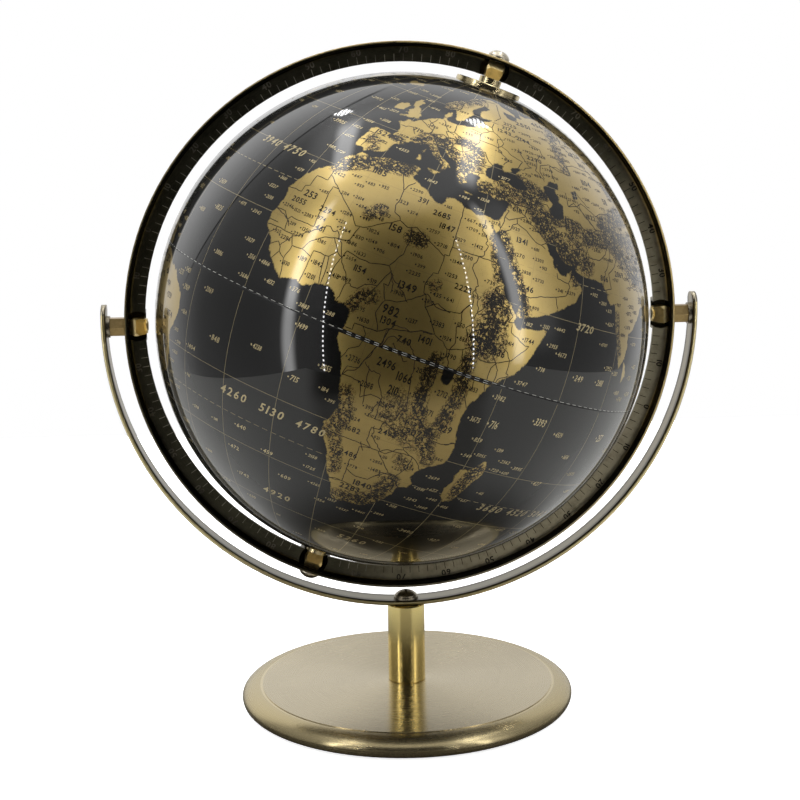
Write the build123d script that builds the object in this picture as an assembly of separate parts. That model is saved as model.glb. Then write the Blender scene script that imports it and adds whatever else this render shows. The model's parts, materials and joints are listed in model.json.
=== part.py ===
from build123d import *
import os
from math import sqrt

# Desktop globe: a 200 mm ball turns in a meridian ring, and the ring swings in a half-round
# fork on a post and a round base.
# Frame: millimetres, +Z up. The origin is the centre of the foot pad's underside. The ring
# stands in the XZ plane, and the globe's front faces -Y.

# ---------------------------------------------------------------- driving dimensions
# ball
ball_radius = 100.0
ball_wall = 1.5
axis_tilt = 21.0            # globe axis from the vertical, towards +X
seam_gap = 0.03             # half the gap between the two half balls
seam_bevel = 0.2
band_wall = 1.5             # joining band inside the seam
band_reach = 6.0            # either side of the seam
disc_rise = 0.8             # top of the pole discs above the ball
disc_bevel = 0.25
hour_disc_radius = 13.4
south_collar_radius = 8.0
bush_wall = 1.95
bush_depth = 6.8
bush_collar = 2.0           # how far the collar stands out from the bush
bush_collar_height = 1.6

# meridian ring
ring_clearance = 4.0        # between the ball and the ring's web
ring_depth = 8.1            # from the web's inner edge to the outside of the flange
ring_width = 10.0           # flange, along Y
ring_flange = 1.5
ring_web = 1.5
ring_root_fillet = 1.6
ring_bevel = 0.3
seam_angle = 45.0           # the turned hoop's start lies between two bosses
pocket_clearance = 0.94     # between a block's corners and the wall of its pocket
pocket_wall = 1.0
pocket_relief = 0.26        # between a block and the floor of its pocket
pocket_back = 0.7           # metal behind the floor

# fork
fork_clearance = 7.4        # between the ring and the fork's hollow side
fork_thickness = 2.0
fork_width = 10.0
fork_bevel = 0.35
fork_rise = 1.5             # centre of the fork's arc above the pivot axis
fork_tip = 9.0              # top of the rounded ends above the pivot axis

# base and post
base_radius = 69.5
base_height = 9.0
base_sheet = 1.4
rim_width = 8.5             # from the crease to the outside
rim_height = 4.2            # widest point of the rim above the table
rim_roll = 3.6
rim_under = 75.0            # how far the edge is rolled under, in degrees
crease_step = 0.3
weight_margin = 1.5         # weight's edge inside the crease
pad_margin = 5.0            # pad's edge inside the cover's
pad_thickness = 1.2
post_radius = 7.75
post_length = 33.4
post_bevel = 0.4
thread_gap = 7.4            # between the ends of the two screws in the post

# screws, washers and stock
hex_across_flats = 7.0      # hexagon stock of the spacers and blocks
block_length = 7.3
block_crease = 0.5          # the blunt edge that the block shows to the front, half its height
side_boss = 0.5             # round boss on the two side blocks
screw_radius = 2.0          # M4, pivots and axles
fork_screw_radius = 2.5     # M5
bolt_radius = 3.0           # M6
dome_rim = 2.35             # how far the axle screw's head stands out from its shank
dome_height = 2.9
pan_rim = 2.0
pan_height = 2.3
pivot_washer_height = 1.4
pivot_washer_rim = 0.36     # beyond the spacer's corners
fork_washer_rim = 2.6
fork_washer_height = 0.8
fork_washer_fit = 0.05      # between its rim and the fork's curve
base_washer_rim = 3.25
base_washer_height = 1.2
base_washer_cover = 2.0     # metal of the weight above the washer
sleeve_wall = 2.45
fit = 0.05                  # radial clearance round a shank
washer_fit = 0.2            # radial clearance of a washer or a plain hole

# ---------------------------------------------------------------- worked-out dimensions
ring_inner_radius = ball_radius + ring_clearance
ring_outer_radius = ring_inner_radius + ring_depth
flange_inner_radius = ring_outer_radius - ring_flange
fork_inner_radius = ring_outer_radius + fork_clearance
fork_outer_radius = fork_inner_radius + fork_thickness
fork_bottom = base_height + post_length
pivot_height = fork_bottom + fork_outer_radius - fork_rise
center = Location((0, 0, pivot_height))

hex_half = hex_across_flats / 2
hex_corner = hex_across_flats / sqrt(3)
block_outer = flange_inner_radius - fit
block_middle = block_outer - hex_half
block_inner = block_outer - hex_across_flats
bore_radius = screw_radius + fit
disc_top = ball_radius + disc_rise

os.makedirs("parts", exist_ok=True)
nodes = {}


def along_radius(angle):
    """Frame at the ball's centre whose +Z runs along the ring radius at this angle from up."""
    return center * Location((0, 0, 0), (0, angle, 0))


def turned(points):
    """Solid turned about Z from (radius, height) corners."""
    outline = Polyline(*points, close=True)
    return revolve(Plane.XZ * make_face(outline), Axis.Z)


def tube(outer, inner, low, high):
    """Plain turned sleeve between two heights."""
    return turned([(inner, low), (outer, low), (outer, high), (inner, high)])


def rod(radius, low, high):
    """Plain turned bar between two heights."""
    return Location((0, 0, low)) * Cylinder(radius, high - low,
                                            align=(Align.CENTER, Align.CENTER, Align.MIN))


def sagitta(radius, half_chord):
    """How far an arc of this radius falls away at half_chord from its middle."""
    return radius - sqrt(radius ** 2 - half_chord ** 2)


def cross_recess(length, width, depth, top):
    """Cross-shaped driver recess whose arms taper towards the bottom."""
    tool = None
    for turn in (0, 90):
        mouth = Location((0, 0, top)) * Rectangle(length, width)
        floor = Location((0, 0, top - depth)) * Rectangle(length * 0.35, width * 0.7)
        arm = Location((0, 0, 0), (0, 0, turn)) * loft([floor.face(), mouth.face()])
        tool = arm if tool is None else tool + arm
    return tool


def dome_head(radius, height, low):
    """Screw head with a short upright rim and a domed top, seated at the height low."""
    rim = 0.7
    side = Polyline((0, low), (radius, low), (radius, low + rim))
    crown = ThreePointArc((radius, low + rim), (radius * 0.66, low + rim + (height - rim) * 0.72),
                          (0, low + height))
    back = Line((0, low + height), (0, low))
    return revolve(Plane.XZ * make_face([*side.edges(), crown, back]), Axis.Z)


# ---------------------------------------------------------------- base
crease_radius = base_radius - rim_width
weight_top = base_height - base_sheet
washer_high = weight_top - base_washer_cover
washer_low = washer_high - base_washer_height
bolt_head_low = pad_thickness + 0.3
thread_reach = (post_length - thread_gap) / 2


def base_cover():
    """Spun sheet cover: flat top, a crease, a full round rim and an edge rolled under."""
    def skin(inset):
        flat_z = base_height - inset
        shoulder_z = flat_z - crease_step
        shoulder = EllipticalCenterArc((crease_radius, rim_height), rim_width - inset,
                                       shoulder_z - rim_height, start_angle=0, arc_size=90)
        edge = CenterArc((base_radius - rim_roll, rim_height), rim_roll - inset,
                         -rim_under, rim_under)
        return flat_z, shoulder_z, shoulder, edge

    top_z, top_shoulder_z, top_shoulder, top_edge = skin(0)
    low_z, low_shoulder_z, low_shoulder, low_edge = skin(base_sheet)
    hole = bolt_radius + 0.3
    inner_crease = crease_radius - crease_step
    flat = Polyline((hole, low_z), (hole, top_z), (crease_radius, top_z),
                    (crease_radius, top_shoulder_z))
    ceiling = Polyline((hole, low_z), (inner_crease, low_z), (inner_crease, low_shoulder_z),
                       (crease_radius, low_shoulder_z))
    lip = Line(top_edge @ 0, low_edge @ 0)
    outline = [*flat.edges(), top_shoulder, top_edge, lip, low_edge, low_shoulder, *ceiling.edges()]
    return revolve(Plane.XZ * make_face(outline), Axis.Z)


def base_weight():
    """Cast disc that fills the cover, counterbored from below for the bolt."""
    blank = tube(crease_radius - weight_margin, bolt_radius + 0.3, pad_thickness, weight_top)
    blank = chamfer(blank.edges().filter_by(GeomType.CIRCLE).group_by(SortBy.RADIUS)[-1], 0.8)
    return blank - rod(bolt_radius + base_washer_rim + 1.75, pad_thickness - 1, washer_high)


def base_bolt():
    """Low hexagon-head bolt that pulls the post down on the cover."""
    head = extrude(RegularPolygon(bolt_radius + 2, 6, major_radius=False), washer_low - bolt_head_low)
    head = Location((0, 0, bolt_head_low)) * head
    return head + rod(bolt_radius - fit, washer_low, base_height + thread_reach)


nodes["base_cover"] = base_cover()
nodes["base_weight"] = base_weight()
nodes["base_pad"] = rod(base_radius - pad_margin, 0, pad_thickness)
nodes["base_washer"] = tube(bolt_radius + base_washer_rim, bolt_radius + washer_fit, washer_low,
                            washer_high)
nodes["base_bolt"] = base_bolt()

# ---------------------------------------------------------------- post and fork
fork_washer_radius = fork_screw_radius + fork_washer_rim
fork_seat = (fork_bottom + fork_thickness                # flat washer on the fork's hollow side
             + sagitta(fork_inner_radius, fork_washer_radius) + fork_washer_fit)
fork_screw_low = fork_bottom - thread_reach
head_face = fork_outer_radius - 0.2                      # countersunk, just below the surface
head_height = fork_thickness - 0.25
head_radius = screw_radius + head_height
pivot_washer_radius = hex_corner + pivot_washer_rim


def post():
    """Plain turned post, bored at both ends."""
    bar = rod(post_radius, base_height, fork_bottom)
    bar = chamfer(bar.edges().filter_by(GeomType.CIRCLE), post_bevel)
    bar -= rod(bolt_radius, base_height - 1, base_height + thread_reach + 1)
    return bar - rod(fork_screw_radius + fit, fork_screw_low - 1, fork_bottom + 1)


def pivot_hole():
    """Countersunk running hole for a pivot screw, with a flat spot for its washer."""
    c = fit + 0.02
    cone = [(0, head_face - head_height - 6), (screw_radius + c, head_face - head_height - 6),
            (screw_radius + c, head_face - head_height), (head_radius + c, head_face),
            (head_radius + c, fork_outer_radius + 2), (0, fork_outer_radius + 2)]
    return turned(cone) + rod(pivot_washer_radius + 0.3, fork_inner_radius - 3, fork_inner_radius)


def fork():
    """Half-round strip with rounded ends, countersunk pivot holes and a hole over the post."""
    strip = Location(((fork_inner_radius + fork_outer_radius) / 2, 0)) * Rectangle(fork_thickness,
                                                                                   fork_width)
    strip = chamfer(strip.vertices(), fork_bevel)
    arc_center = Location((0, 0, pivot_height + fork_rise), (0, -90, 0))
    hoop = arc_center * revolve(strip, Axis.Y)
    end_z = pivot_height + fork_tip - fork_width / 2
    across = 2 * fork_outer_radius + 10
    keep = Location((0, 0, end_z)) * Box(across, fork_width + 2, 2 * across,
                                         align=(Align.CENTER, Align.CENTER, Align.MAX))
    keep += Location((0, 0, end_z), (0, 90, 0)) * Cylinder(fork_width / 2, across)
    bow = hoop & keep
    for side in (90, -90):
        bow -= along_radius(side) * pivot_hole()
    hole = rod(fork_screw_radius + washer_fit, fork_bottom - 1, fork_bottom + fork_thickness + 1)
    return bow - hole


def fork_screw():
    """Pan-head cross-recess screw that clamps the fork to the post."""
    seat = fork_seat + fork_washer_height
    head = dome_head(fork_screw_radius + pan_rim, pan_height, seat)
    head -= cross_recess(5.2, 1.1, 1.3, seat + pan_height + 0.1)
    return head + rod(fork_screw_radius, fork_screw_low, seat)


nodes["post"] = post()
nodes["fork"] = fork()
nodes["fork_washer"] = tube(fork_washer_radius, fork_screw_radius + washer_fit, fork_seat,
                            fork_seat + fork_washer_height)
nodes["fork_screw"] = fork_screw()

# ---------------------------------------------------------------- meridian ring
pocket_radius = sqrt(hex_half ** 2 + (block_length / 2) ** 2) + pocket_clearance
pocket_floor = hex_corner + pocket_relief
boss_radius = pocket_radius + pocket_wall
boss_front = ring_web / 2
boss_back = pocket_floor + pocket_back
stations = {"north": axis_tilt, "right": 90.0, "south": 180.0 + axis_tilt, "left": -90.0}


def meridian_ring():
    """T-section hoop with four round bosses; each has a blind pocket that holds a block."""
    flange = Location(((flange_inner_radius + ring_outer_radius) / 2, 0)) * Rectangle(ring_flange,
                                                                                      ring_width)
    depth = flange_inner_radius - ring_inner_radius + ring_flange / 3
    web = Location((ring_inner_radius + depth / 2, 0)) * Rectangle(depth, ring_web)
    section = flange + web
    corners = section.vertices().filter_by(lambda v: abs(v.X - flange_inner_radius) < 0.01)
    roots = corners.filter_by(lambda v: abs(v.Y) < ring_web)
    section = fillet(roots, ring_root_fillet)
    lips = section.vertices().filter_by(lambda v: abs(v.Y) > ring_width / 2 - 0.01)
    section = chamfer(lips, ring_bevel)
    hoop = Location((0, 0, 0), (0, seam_angle, 0)) * revolve(section, Axis.Y)

    across = 2 * ring_width
    annulus = extrude(Plane.XZ * Circle(flange_inner_radius + ring_flange / 5), across, both=True)
    annulus -= extrude(Plane.XZ * Circle(ring_inner_radius), across + 1, both=True)
    inside = extrude(Plane.XZ * Circle(flange_inner_radius), across, both=True)
    for angle in stations.values():
        seat = Location((0, 0, 0), (0, angle, 0)) * Location((0, 0, block_middle), (90, 0, 0))
        boss = seat * Cylinder(boss_radius, boss_front + boss_back,
                               align=(Align.CENTER, Align.CENTER, Align.MAX))
        boss = Location((0, -boss_front, 0)) * boss
        pocket = seat * Cylinder(pocket_radius, pocket_floor + ring_width,
                                 align=(Align.CENTER, Align.CENTER, Align.MAX))
        pocket = Location((0, -ring_width, 0)) * pocket
        hoop = hoop + (boss & annulus) - (pocket & inside)
        hoop -= Location((0, 0, 0), (0, angle, 0)) * rod(bore_radius, ring_inner_radius,
                                                         ring_outer_radius + 2)
    return center * hoop


def ring_block(boss_height):
    """Faceted brass block: hexagon stock with a crease to the front and bevelled sides."""
    end = block_length / 2
    shoulder = end - 0.7
    flat = hex_half / sqrt(3)
    side = (Plane.YZ * make_face(Polyline(
        (-hex_corner, block_crease), (-flat, hex_half), (flat, hex_half),
        (hex_corner, block_crease), (flat, -hex_half), (-flat, -hex_half), close=True)))
    block = extrude(side, end, both=True)
    front = Plane.XZ * make_face(Polyline(
        (-end, block_crease), (-shoulder, hex_half), (shoulder, hex_half), (end, block_crease),
        (shoulder, -hex_half), (-shoulder, -hex_half), close=True))
    block = block & extrude(front, 2 * block_length, both=True)
    plan = chamfer((Rectangle(block_length, 2 * hex_corner)).vertices(), 0.75, 1.5)
    block = block & extrude(plan, 2 * block_length, both=True)
    block = Location((0, 0, block_middle)) * block
    if boss_height:
        block += rod(screw_radius + 1.0, block_inner - boss_height, block_inner)
    return block - rod(bore_radius, block_inner - 2, block_outer + 1)


nodes["meridian_ring"] = meridian_ring()
for place, angle in stations.items():
    boss_height = side_boss if place in ("left", "right") else 0
    nodes["ring_block_" + place] = along_radius(angle) * ring_block(boss_height)

# ---------------------------------------------------------------- side pivots
washer_inner = fork_inner_radius - pivot_washer_height
spacer_outer = washer_inner - fit


def hex_spacer():
    """Hexagon spacer between the ring and the pivot washer, one corner to the front."""
    prism = extrude(RegularPolygon(hex_half, 6, major_radius=False, rotation=90),
                    spacer_outer - ring_outer_radius)
    prism = Location((0, 0, ring_outer_radius)) * prism
    corner = hex_corner * 0.965
    guard = turned([(0, ring_outer_radius), (corner, ring_outer_radius),
                    (hex_corner + 0.1, ring_outer_radius + 0.3),
                    (hex_corner + 0.1, spacer_outer - 0.3), (corner, spacer_outer), (0, spacer_outer)])
    return (prism & guard) - rod(bore_radius, ring_outer_radius - 1, spacer_outer + 1)


def pivot_screw():
    """Countersunk screw, flush with the fork, whose end shows at the block's inner face."""
    tip = block_inner - side_boss - 0.3
    return turned([(0, tip), (screw_radius - 0.3, tip), (screw_radius, tip + 0.3),
                   (screw_radius, head_face - head_height), (head_radius, head_face),
                   (0, head_face)]) - cross_recess(4.0, 0.9, 1.1, head_face + 0.01)


for place in ("left", "right"):
    spot = along_radius(stations[place])
    nodes["pivot_washer_" + place] = spot * tube(pivot_washer_radius, screw_radius + 2 * fit,
                                                 washer_inner, fork_inner_radius)
    nodes["hex_spacer_" + place] = spot * hex_spacer()
    nodes["pivot_screw_" + place] = spot * pivot_screw()

# ---------------------------------------------------------------- globe axis
bush_radius = bore_radius + bush_wall
bush_collar_radius = bush_radius + bush_collar
sleeve_low = disc_top + 0.08
inner_radius = ball_radius - ball_wall
band_radius = sqrt(inner_radius ** 2 - band_reach ** 2) - 0.1


def axle_screw():
    """Dome-head screw that carries the ball: it runs in the polar bush."""
    tip = disc_top - bush_depth + 0.4
    head = dome_head(screw_radius + dome_rim, dome_height, ring_outer_radius)
    head -= cross_recess(4.4, 1.0, 1.3, ring_outer_radius + dome_height + 0.1)
    shank = turned([(0, tip), (screw_radius - 0.3, tip), (screw_radius, tip + 0.3),
                    (screw_radius, ring_outer_radius + 0.2), (0, ring_outer_radius + 0.2)])
    return head + shank


def polar_bush():
    """Turned bush glued in the pole: its collar bears on the inside of the ball."""
    shelf = sqrt(inner_radius ** 2 - bush_collar_radius ** 2) - 0.05
    collar_low = shelf - bush_collar_height
    low = disc_top - bush_depth
    return turned([(bore_radius, low), (bush_radius, low), (bush_radius, collar_low),
                   (bush_collar_radius, collar_low), (bush_collar_radius, shelf),
                   (bush_radius, shelf), (bush_radius, disc_top), (bore_radius, disc_top)])


def pole_disc(radius):
    """Round disc, hollow underneath to lie on the ball, with a small bevel on top."""
    hug = ball_radius + 0.03
    rim_low = sqrt(hug ** 2 - radius ** 2)
    bore = bush_radius + fit
    blank = turned([(bore, rim_low), (radius, rim_low), (radius, disc_top - disc_bevel),
                    (radius - disc_bevel, disc_top), (bore, disc_top)])
    return blank - Sphere(hug)


def half_ball():
    """Upper half of the hollow ball, with a bevelled seam edge and a hole at the pole."""
    shell = Sphere(ball_radius) - Sphere(inner_radius) - rod(bush_radius + fit, 0, ball_radius + 1)
    shell &= Location((0, 0, seam_gap)) * Box(3 * ball_radius, 3 * ball_radius, 2 * ball_radius,
                                              align=(Align.CENTER, Align.CENTER, Align.MIN))
    rim = shell.edges().filter_by(GeomType.CIRCLE).sort_by(Axis.Z)[0:2].sort_by(SortBy.RADIUS)[-1]
    return chamfer(rim, seam_bevel)


north = along_radius(stations["north"])
south = along_radius(stations["south"])
half = half_ball()
nodes["globe_north"] = north * half
nodes["globe_south"] = south * half
nodes["equator_band"] = north * tube(band_radius, band_radius - band_wall, -band_reach, band_reach)
nodes["hour_disc"] = north * pole_disc(hour_disc_radius)
nodes["south_collar"] = south * pole_disc(south_collar_radius)
for place, spot in (("north", north), ("south", south)):
    nodes["polar_bush_" + place] = spot * polar_bush()
    nodes["axle_screw_" + place] = spot * axle_screw()
    nodes["axle_sleeve_" + place] = spot * tube(bore_radius + sleeve_wall, bore_radius, sleeve_low,
                                                block_inner)

for name, shape in nodes.items():
    export_step(shape, "parts/" + name + ".step")
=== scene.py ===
"""Finish of a desktop globe: lacquered map ball, engraved meridian ring, brass fork, post and base.

Laid out as an add-on: sizes and colours sit in property groups, and each group of pieces has an
operator. Run as a script it builds everything round the packed parts, in their frame, in metres.
"""

import json
import math

import bpy
import numpy as np
from bpy.props import FloatProperty, FloatVectorProperty, IntProperty, PointerProperty
from mathutils import Matrix, Vector, noise
from mathutils.bvhtree import BVHTree
from mathutils.kdtree import KDTree


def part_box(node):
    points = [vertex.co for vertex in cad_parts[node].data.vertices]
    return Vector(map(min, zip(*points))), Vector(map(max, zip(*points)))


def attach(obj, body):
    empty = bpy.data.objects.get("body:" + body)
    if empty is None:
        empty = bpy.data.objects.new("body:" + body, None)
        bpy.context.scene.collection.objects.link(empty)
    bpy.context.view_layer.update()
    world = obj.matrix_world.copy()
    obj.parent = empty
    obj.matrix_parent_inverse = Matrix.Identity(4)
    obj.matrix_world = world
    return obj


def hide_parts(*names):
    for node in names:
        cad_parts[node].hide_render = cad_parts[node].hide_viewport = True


bl_info = {
    "name": "Desktop Globe",
    "version": (1, 0, 0),
    "blender": (4, 5, 0),
    "location": "3D View > Sidebar > Globe",
    "description": "Builds the finish of a desktop globe round its packed parts",
    "category": "Object",
}

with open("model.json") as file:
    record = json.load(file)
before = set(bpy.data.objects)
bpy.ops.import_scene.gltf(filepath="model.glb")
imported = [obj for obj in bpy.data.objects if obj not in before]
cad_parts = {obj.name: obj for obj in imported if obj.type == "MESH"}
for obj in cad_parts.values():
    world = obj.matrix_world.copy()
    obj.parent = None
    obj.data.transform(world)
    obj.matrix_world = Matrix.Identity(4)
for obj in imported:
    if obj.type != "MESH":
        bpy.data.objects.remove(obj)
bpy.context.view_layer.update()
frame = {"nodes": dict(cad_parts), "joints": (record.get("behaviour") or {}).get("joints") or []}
PARTS = frame["nodes"]
MM = 0.001

# ---------------------------------------------------------------- places taken from the frame
north_low, north_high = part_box("globe_north")
south_low, south_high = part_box("globe_south")
BALL_RADIUS = (max(north_high.x, south_high.x) - min(north_low.x, south_low.x)) / 2
CENTER = Vector((0, 0, (north_high.z + south_low.z) / 2))
AXIS = Vector(next(j for j in frame["joints"] if j["name"] == "globe_spin")["axis"]).normalized()
AXIS_TILT = math.degrees(math.atan2(AXIS.x, AXIS.z))
RING_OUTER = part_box("meridian_ring")[1].x
RING_FLANGE = 1.5 * MM
RING_WEB = 1.5 * MM
RING_CLEARANCE = 4.0 * MM
FORK_CENTER = CENTER + Vector((0, 0, 1.5 * MM))
FORK_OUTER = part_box("fork")[1].x
BASE_RIM = 8.5 * MM
RING_STATIONS = (AXIS_TILT, 90.0, 180.0 + AXIS_TILT, -90.0)


def globe_turn(longitude):
    """Turn from globe axes (x at longitude 0 on the equator, z north) to the part's axes."""
    front = Vector((0, -1, 0))
    basis = Matrix((front, AXIS.cross(front), AXIS)).transposed()
    return basis @ Matrix.Rotation(math.radians(-longitude), 3, "Z")


# ---------------------------------------------------------------- properties
def length(name, description, default):
    """A length property, in metres."""
    return FloatProperty(name=name, description=description, default=default, min=0.0,
                         subtype="DISTANCE", unit="LENGTH")


def colour(name, description, default):
    """A colour property, linear."""
    return FloatVectorProperty(name=name, description=description, default=default, size=3,
                               min=0.0, max=1.0, subtype="COLOR")


class GlobeMapSettings(bpy.types.PropertyGroup):
    """Printed ball."""
    front_longitude: FloatProperty(
        name="Front longitude", description="Meridian that faces the front, in degrees east",
        default=27.0)
    grid_rows: IntProperty(
        name="Rows", description="Rows of the mesh from the equator to a pole", default=184, min=24)
    pole_hole: length("Pole hole", "Radius of the hole for the bush", 4.05 * MM)
    wall: length("Wall", "Thickness of the half balls", 1.5 * MM)
    seam_bevel: length("Seam bevel", "Bevel at the edge of each half ball", 0.2 * MM)
    seam_gap: length("Seam gap", "Half the gap between the half balls", 0.03 * MM)
    line_width: length("Line width", "Width of printed borders", 0.3 * MM)
    sea: colour("Sea", "Ink of the seas", (0.003, 0.003, 0.0026))
    land: colour("Land", "Metallic ink of the land", (0.50, 0.362, 0.115))
    ink: colour("Ink", "Ink of borders and coasts", (0.010, 0.007, 0.003))
    dash: colour("Dashes", "Dashes along the equator", (0.55, 0.55, 0.50))


class GlobeScaleSettings(bpy.types.PropertyGroup):
    """Scale on the meridian ring."""
    tick_step: FloatProperty(name="Step", description="Degrees between marks", default=2.0)
    tick_length: length("Mark length", "Length of a mark", 2.7 * MM)
    tick_width: length("Mark width", "Width of a mark", 0.26 * MM)
    tick_height: length("Mark height", "How far a mark stands out", 0.04 * MM)
    figure_size: length("Figure size", "Height of the figures", 2.7 * MM)
    tick: colour("Marks", "Metal of the marks", (0.42, 0.39, 0.31))
    figure: colour("Figures", "Metal of the figures", (0.22, 0.20, 0.155))
    # Painted shade on the marks and figures, low on the right of the ring.
    shaded: colour("Shaded", "Marks and figures where the ring is pale", (0.045, 0.040, 0.030))


class GlobeMetalSettings(bpy.types.PropertyGroup):
    """Metals."""
    rim: colour("Base rim", "Brass of the base's rim", (0.42, 0.345, 0.185))
    champagne: colour("Champagne", "Lacquered brass of the base", (0.47, 0.405, 0.275))
    strip: colour("Strip", "Satin brass of the fork", (0.36, 0.32, 0.235))
    # Painted shade low on the fork, under the ball.
    dulled: colour("Dulled", "Dull brass low on the fork", (0.19, 0.175, 0.13))
    darkened: colour("Darkened", "Plating of the fork screw and washers", (0.30, 0.265, 0.20))
    brass: colour("Brass", "Turned brass of the post", (0.93, 0.76, 0.32))
    # The brass of the cut edges, made brighter as a painted highlight.
    sawn: colour("Sawn edge", "Brass of the fork's edges", (0.70, 0.59, 0.31))
    machined: colour("Machined", "Brass of the blocks", (0.88, 0.69, 0.33))
    tarnished: colour("Tarnished", "Brass of the spacers", (0.36, 0.255, 0.11))
    polished: colour("Polished", "Brass of the discs and sleeves", (0.60, 0.50, 0.29))
    nickel: colour("Nickel", "Satin plating of the screws", (0.62, 0.56, 0.44))
    bronze: colour("Bronze", "Blackened bronze of the ring", (0.080, 0.075, 0.050))
    # Painted light: paler bronze where the ring catches the light, low on its right.
    patina: colour("Patina", "Paler bronze low on the right of the ring", (0.40, 0.355, 0.245))
    edge: colour("Edge", "Worn edges of the ring", (0.58, 0.44, 0.19))


# ---------------------------------------------------------------- shader wiring
class Wiring:
    """Adds nodes to a tree and joins them. A value is a number, a colour or a socket."""

    def __init__(self, tree):
        self.tree = tree
        tree.nodes.clear()

    def node(self, kind, **settings):
        made = self.tree.nodes.new(kind)
        for name, value in settings.items():
            setattr(made, name, value)
        return made

    def feed(self, socket, value):
        if isinstance(value, bpy.types.NodeSocket):
            self.tree.links.new(value, socket)
        elif socket.type == "RGBA":
            socket.default_value = (*value[:3], 1.0)
        else:
            socket.default_value = value

    def shader(self, kind, **values):
        """A node whose inputs are given by name, with _ for a space."""
        made = self.node(kind)
        for name, value in values.items():
            self.feed(made.inputs[name.replace("_", " ")], value)
        return made

    def math(self, operation, *values, clamp=False):
        made = self.node("ShaderNodeMath", operation=operation, use_clamp=clamp)
        for socket, value in zip(made.inputs, values):
            self.feed(socket, value)
        return made.outputs[0]

    def step(self, value, low, high):
        """Smooth step from 0 at low to 1 at high."""
        made = self.node("ShaderNodeMapRange", interpolation_type="SMOOTHSTEP")
        for name, entry in (("Value", value), ("From Min", low), ("From Max", high)):
            self.feed(made.inputs[name], entry)
        return made.outputs[0]

    def band(self, value, middle, half, soft):
        """1 within half of middle, falling to 0 over soft."""
        away = self.math("ABSOLUTE", self.math("SUBTRACT", value, middle))
        return self.math("SUBTRACT", 1.0, self.step(away, half, half + soft))

    def mix(self, factor, a, b):
        made = self.node("ShaderNodeMix", data_type="RGBA")
        for index, value in ((0, factor), (6, a), (7, b)):
            self.feed(made.inputs[index], value)
        return made.outputs[2]

    def stretched(self, vector, scale):
        made = self.node("ShaderNodeVectorMath", operation="MULTIPLY")
        self.feed(made.inputs[0], vector)
        self.feed(made.inputs[1], scale)
        return made.outputs[0]

    def noise(self, vector, scale, detail, roughness):
        made = self.node("ShaderNodeTexNoise")
        self.feed(made.inputs["Vector"], vector)
        self.feed(made.inputs["Scale"], scale)
        self.feed(made.inputs["Detail"], detail)
        self.feed(made.inputs["Roughness"], roughness)
        return made.outputs[0]

    def split(self, vector):
        made = self.node("ShaderNodeSeparateXYZ")
        self.feed(made.inputs[0], vector)
        return made.outputs

    def joined(self, x, y, z):
        made = self.node("ShaderNodeCombineXYZ")
        for socket, value in zip(made.inputs, (x, y, z)):
            self.feed(socket, value)
        return made.outputs[0]

    def attribute(self, name, output="Fac"):
        made = self.node("ShaderNodeAttribute", attribute_name=name)
        return made.outputs[output]

    def bump(self, height, strength, distance):
        made = self.node("ShaderNodeBump")
        self.feed(made.inputs["Strength"], strength)
        self.feed(made.inputs["Distance"], distance)
        self.feed(made.inputs["Height"], height)
        return made.outputs[0]

    def surface(self, socket):
        out = self.node("ShaderNodeOutputMaterial")
        self.tree.links.new(socket, out.inputs["Surface"])


def material(name):
    """A fresh material and its wiring."""
    made = bpy.data.materials.new(name)
    made.use_nodes = True
    return made, Wiring(made.node_tree)


def object_coordinates(w):
    return w.node("ShaderNodeTexCoord").outputs["Object"]


def about(w, place):
    """Object coordinates measured from a place."""
    made = w.node("ShaderNodeVectorMath", operation="SUBTRACT")
    w.feed(made.inputs[0], object_coordinates(w))
    w.feed(made.inputs[1], place)
    return made.outputs[0]


def round_coordinates(w, place, axes):
    """Radius, angle and height of a point about an axis through place."""
    parts = w.split(about(w, place))
    a, b, height = (parts[i] for i in axes)
    radius = w.math("SQRT", w.math("ADD", w.math("MULTIPLY", a, a), w.math("MULTIPLY", b, b)))
    return radius, w.math("ARCTAN2", b, a), height
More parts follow.
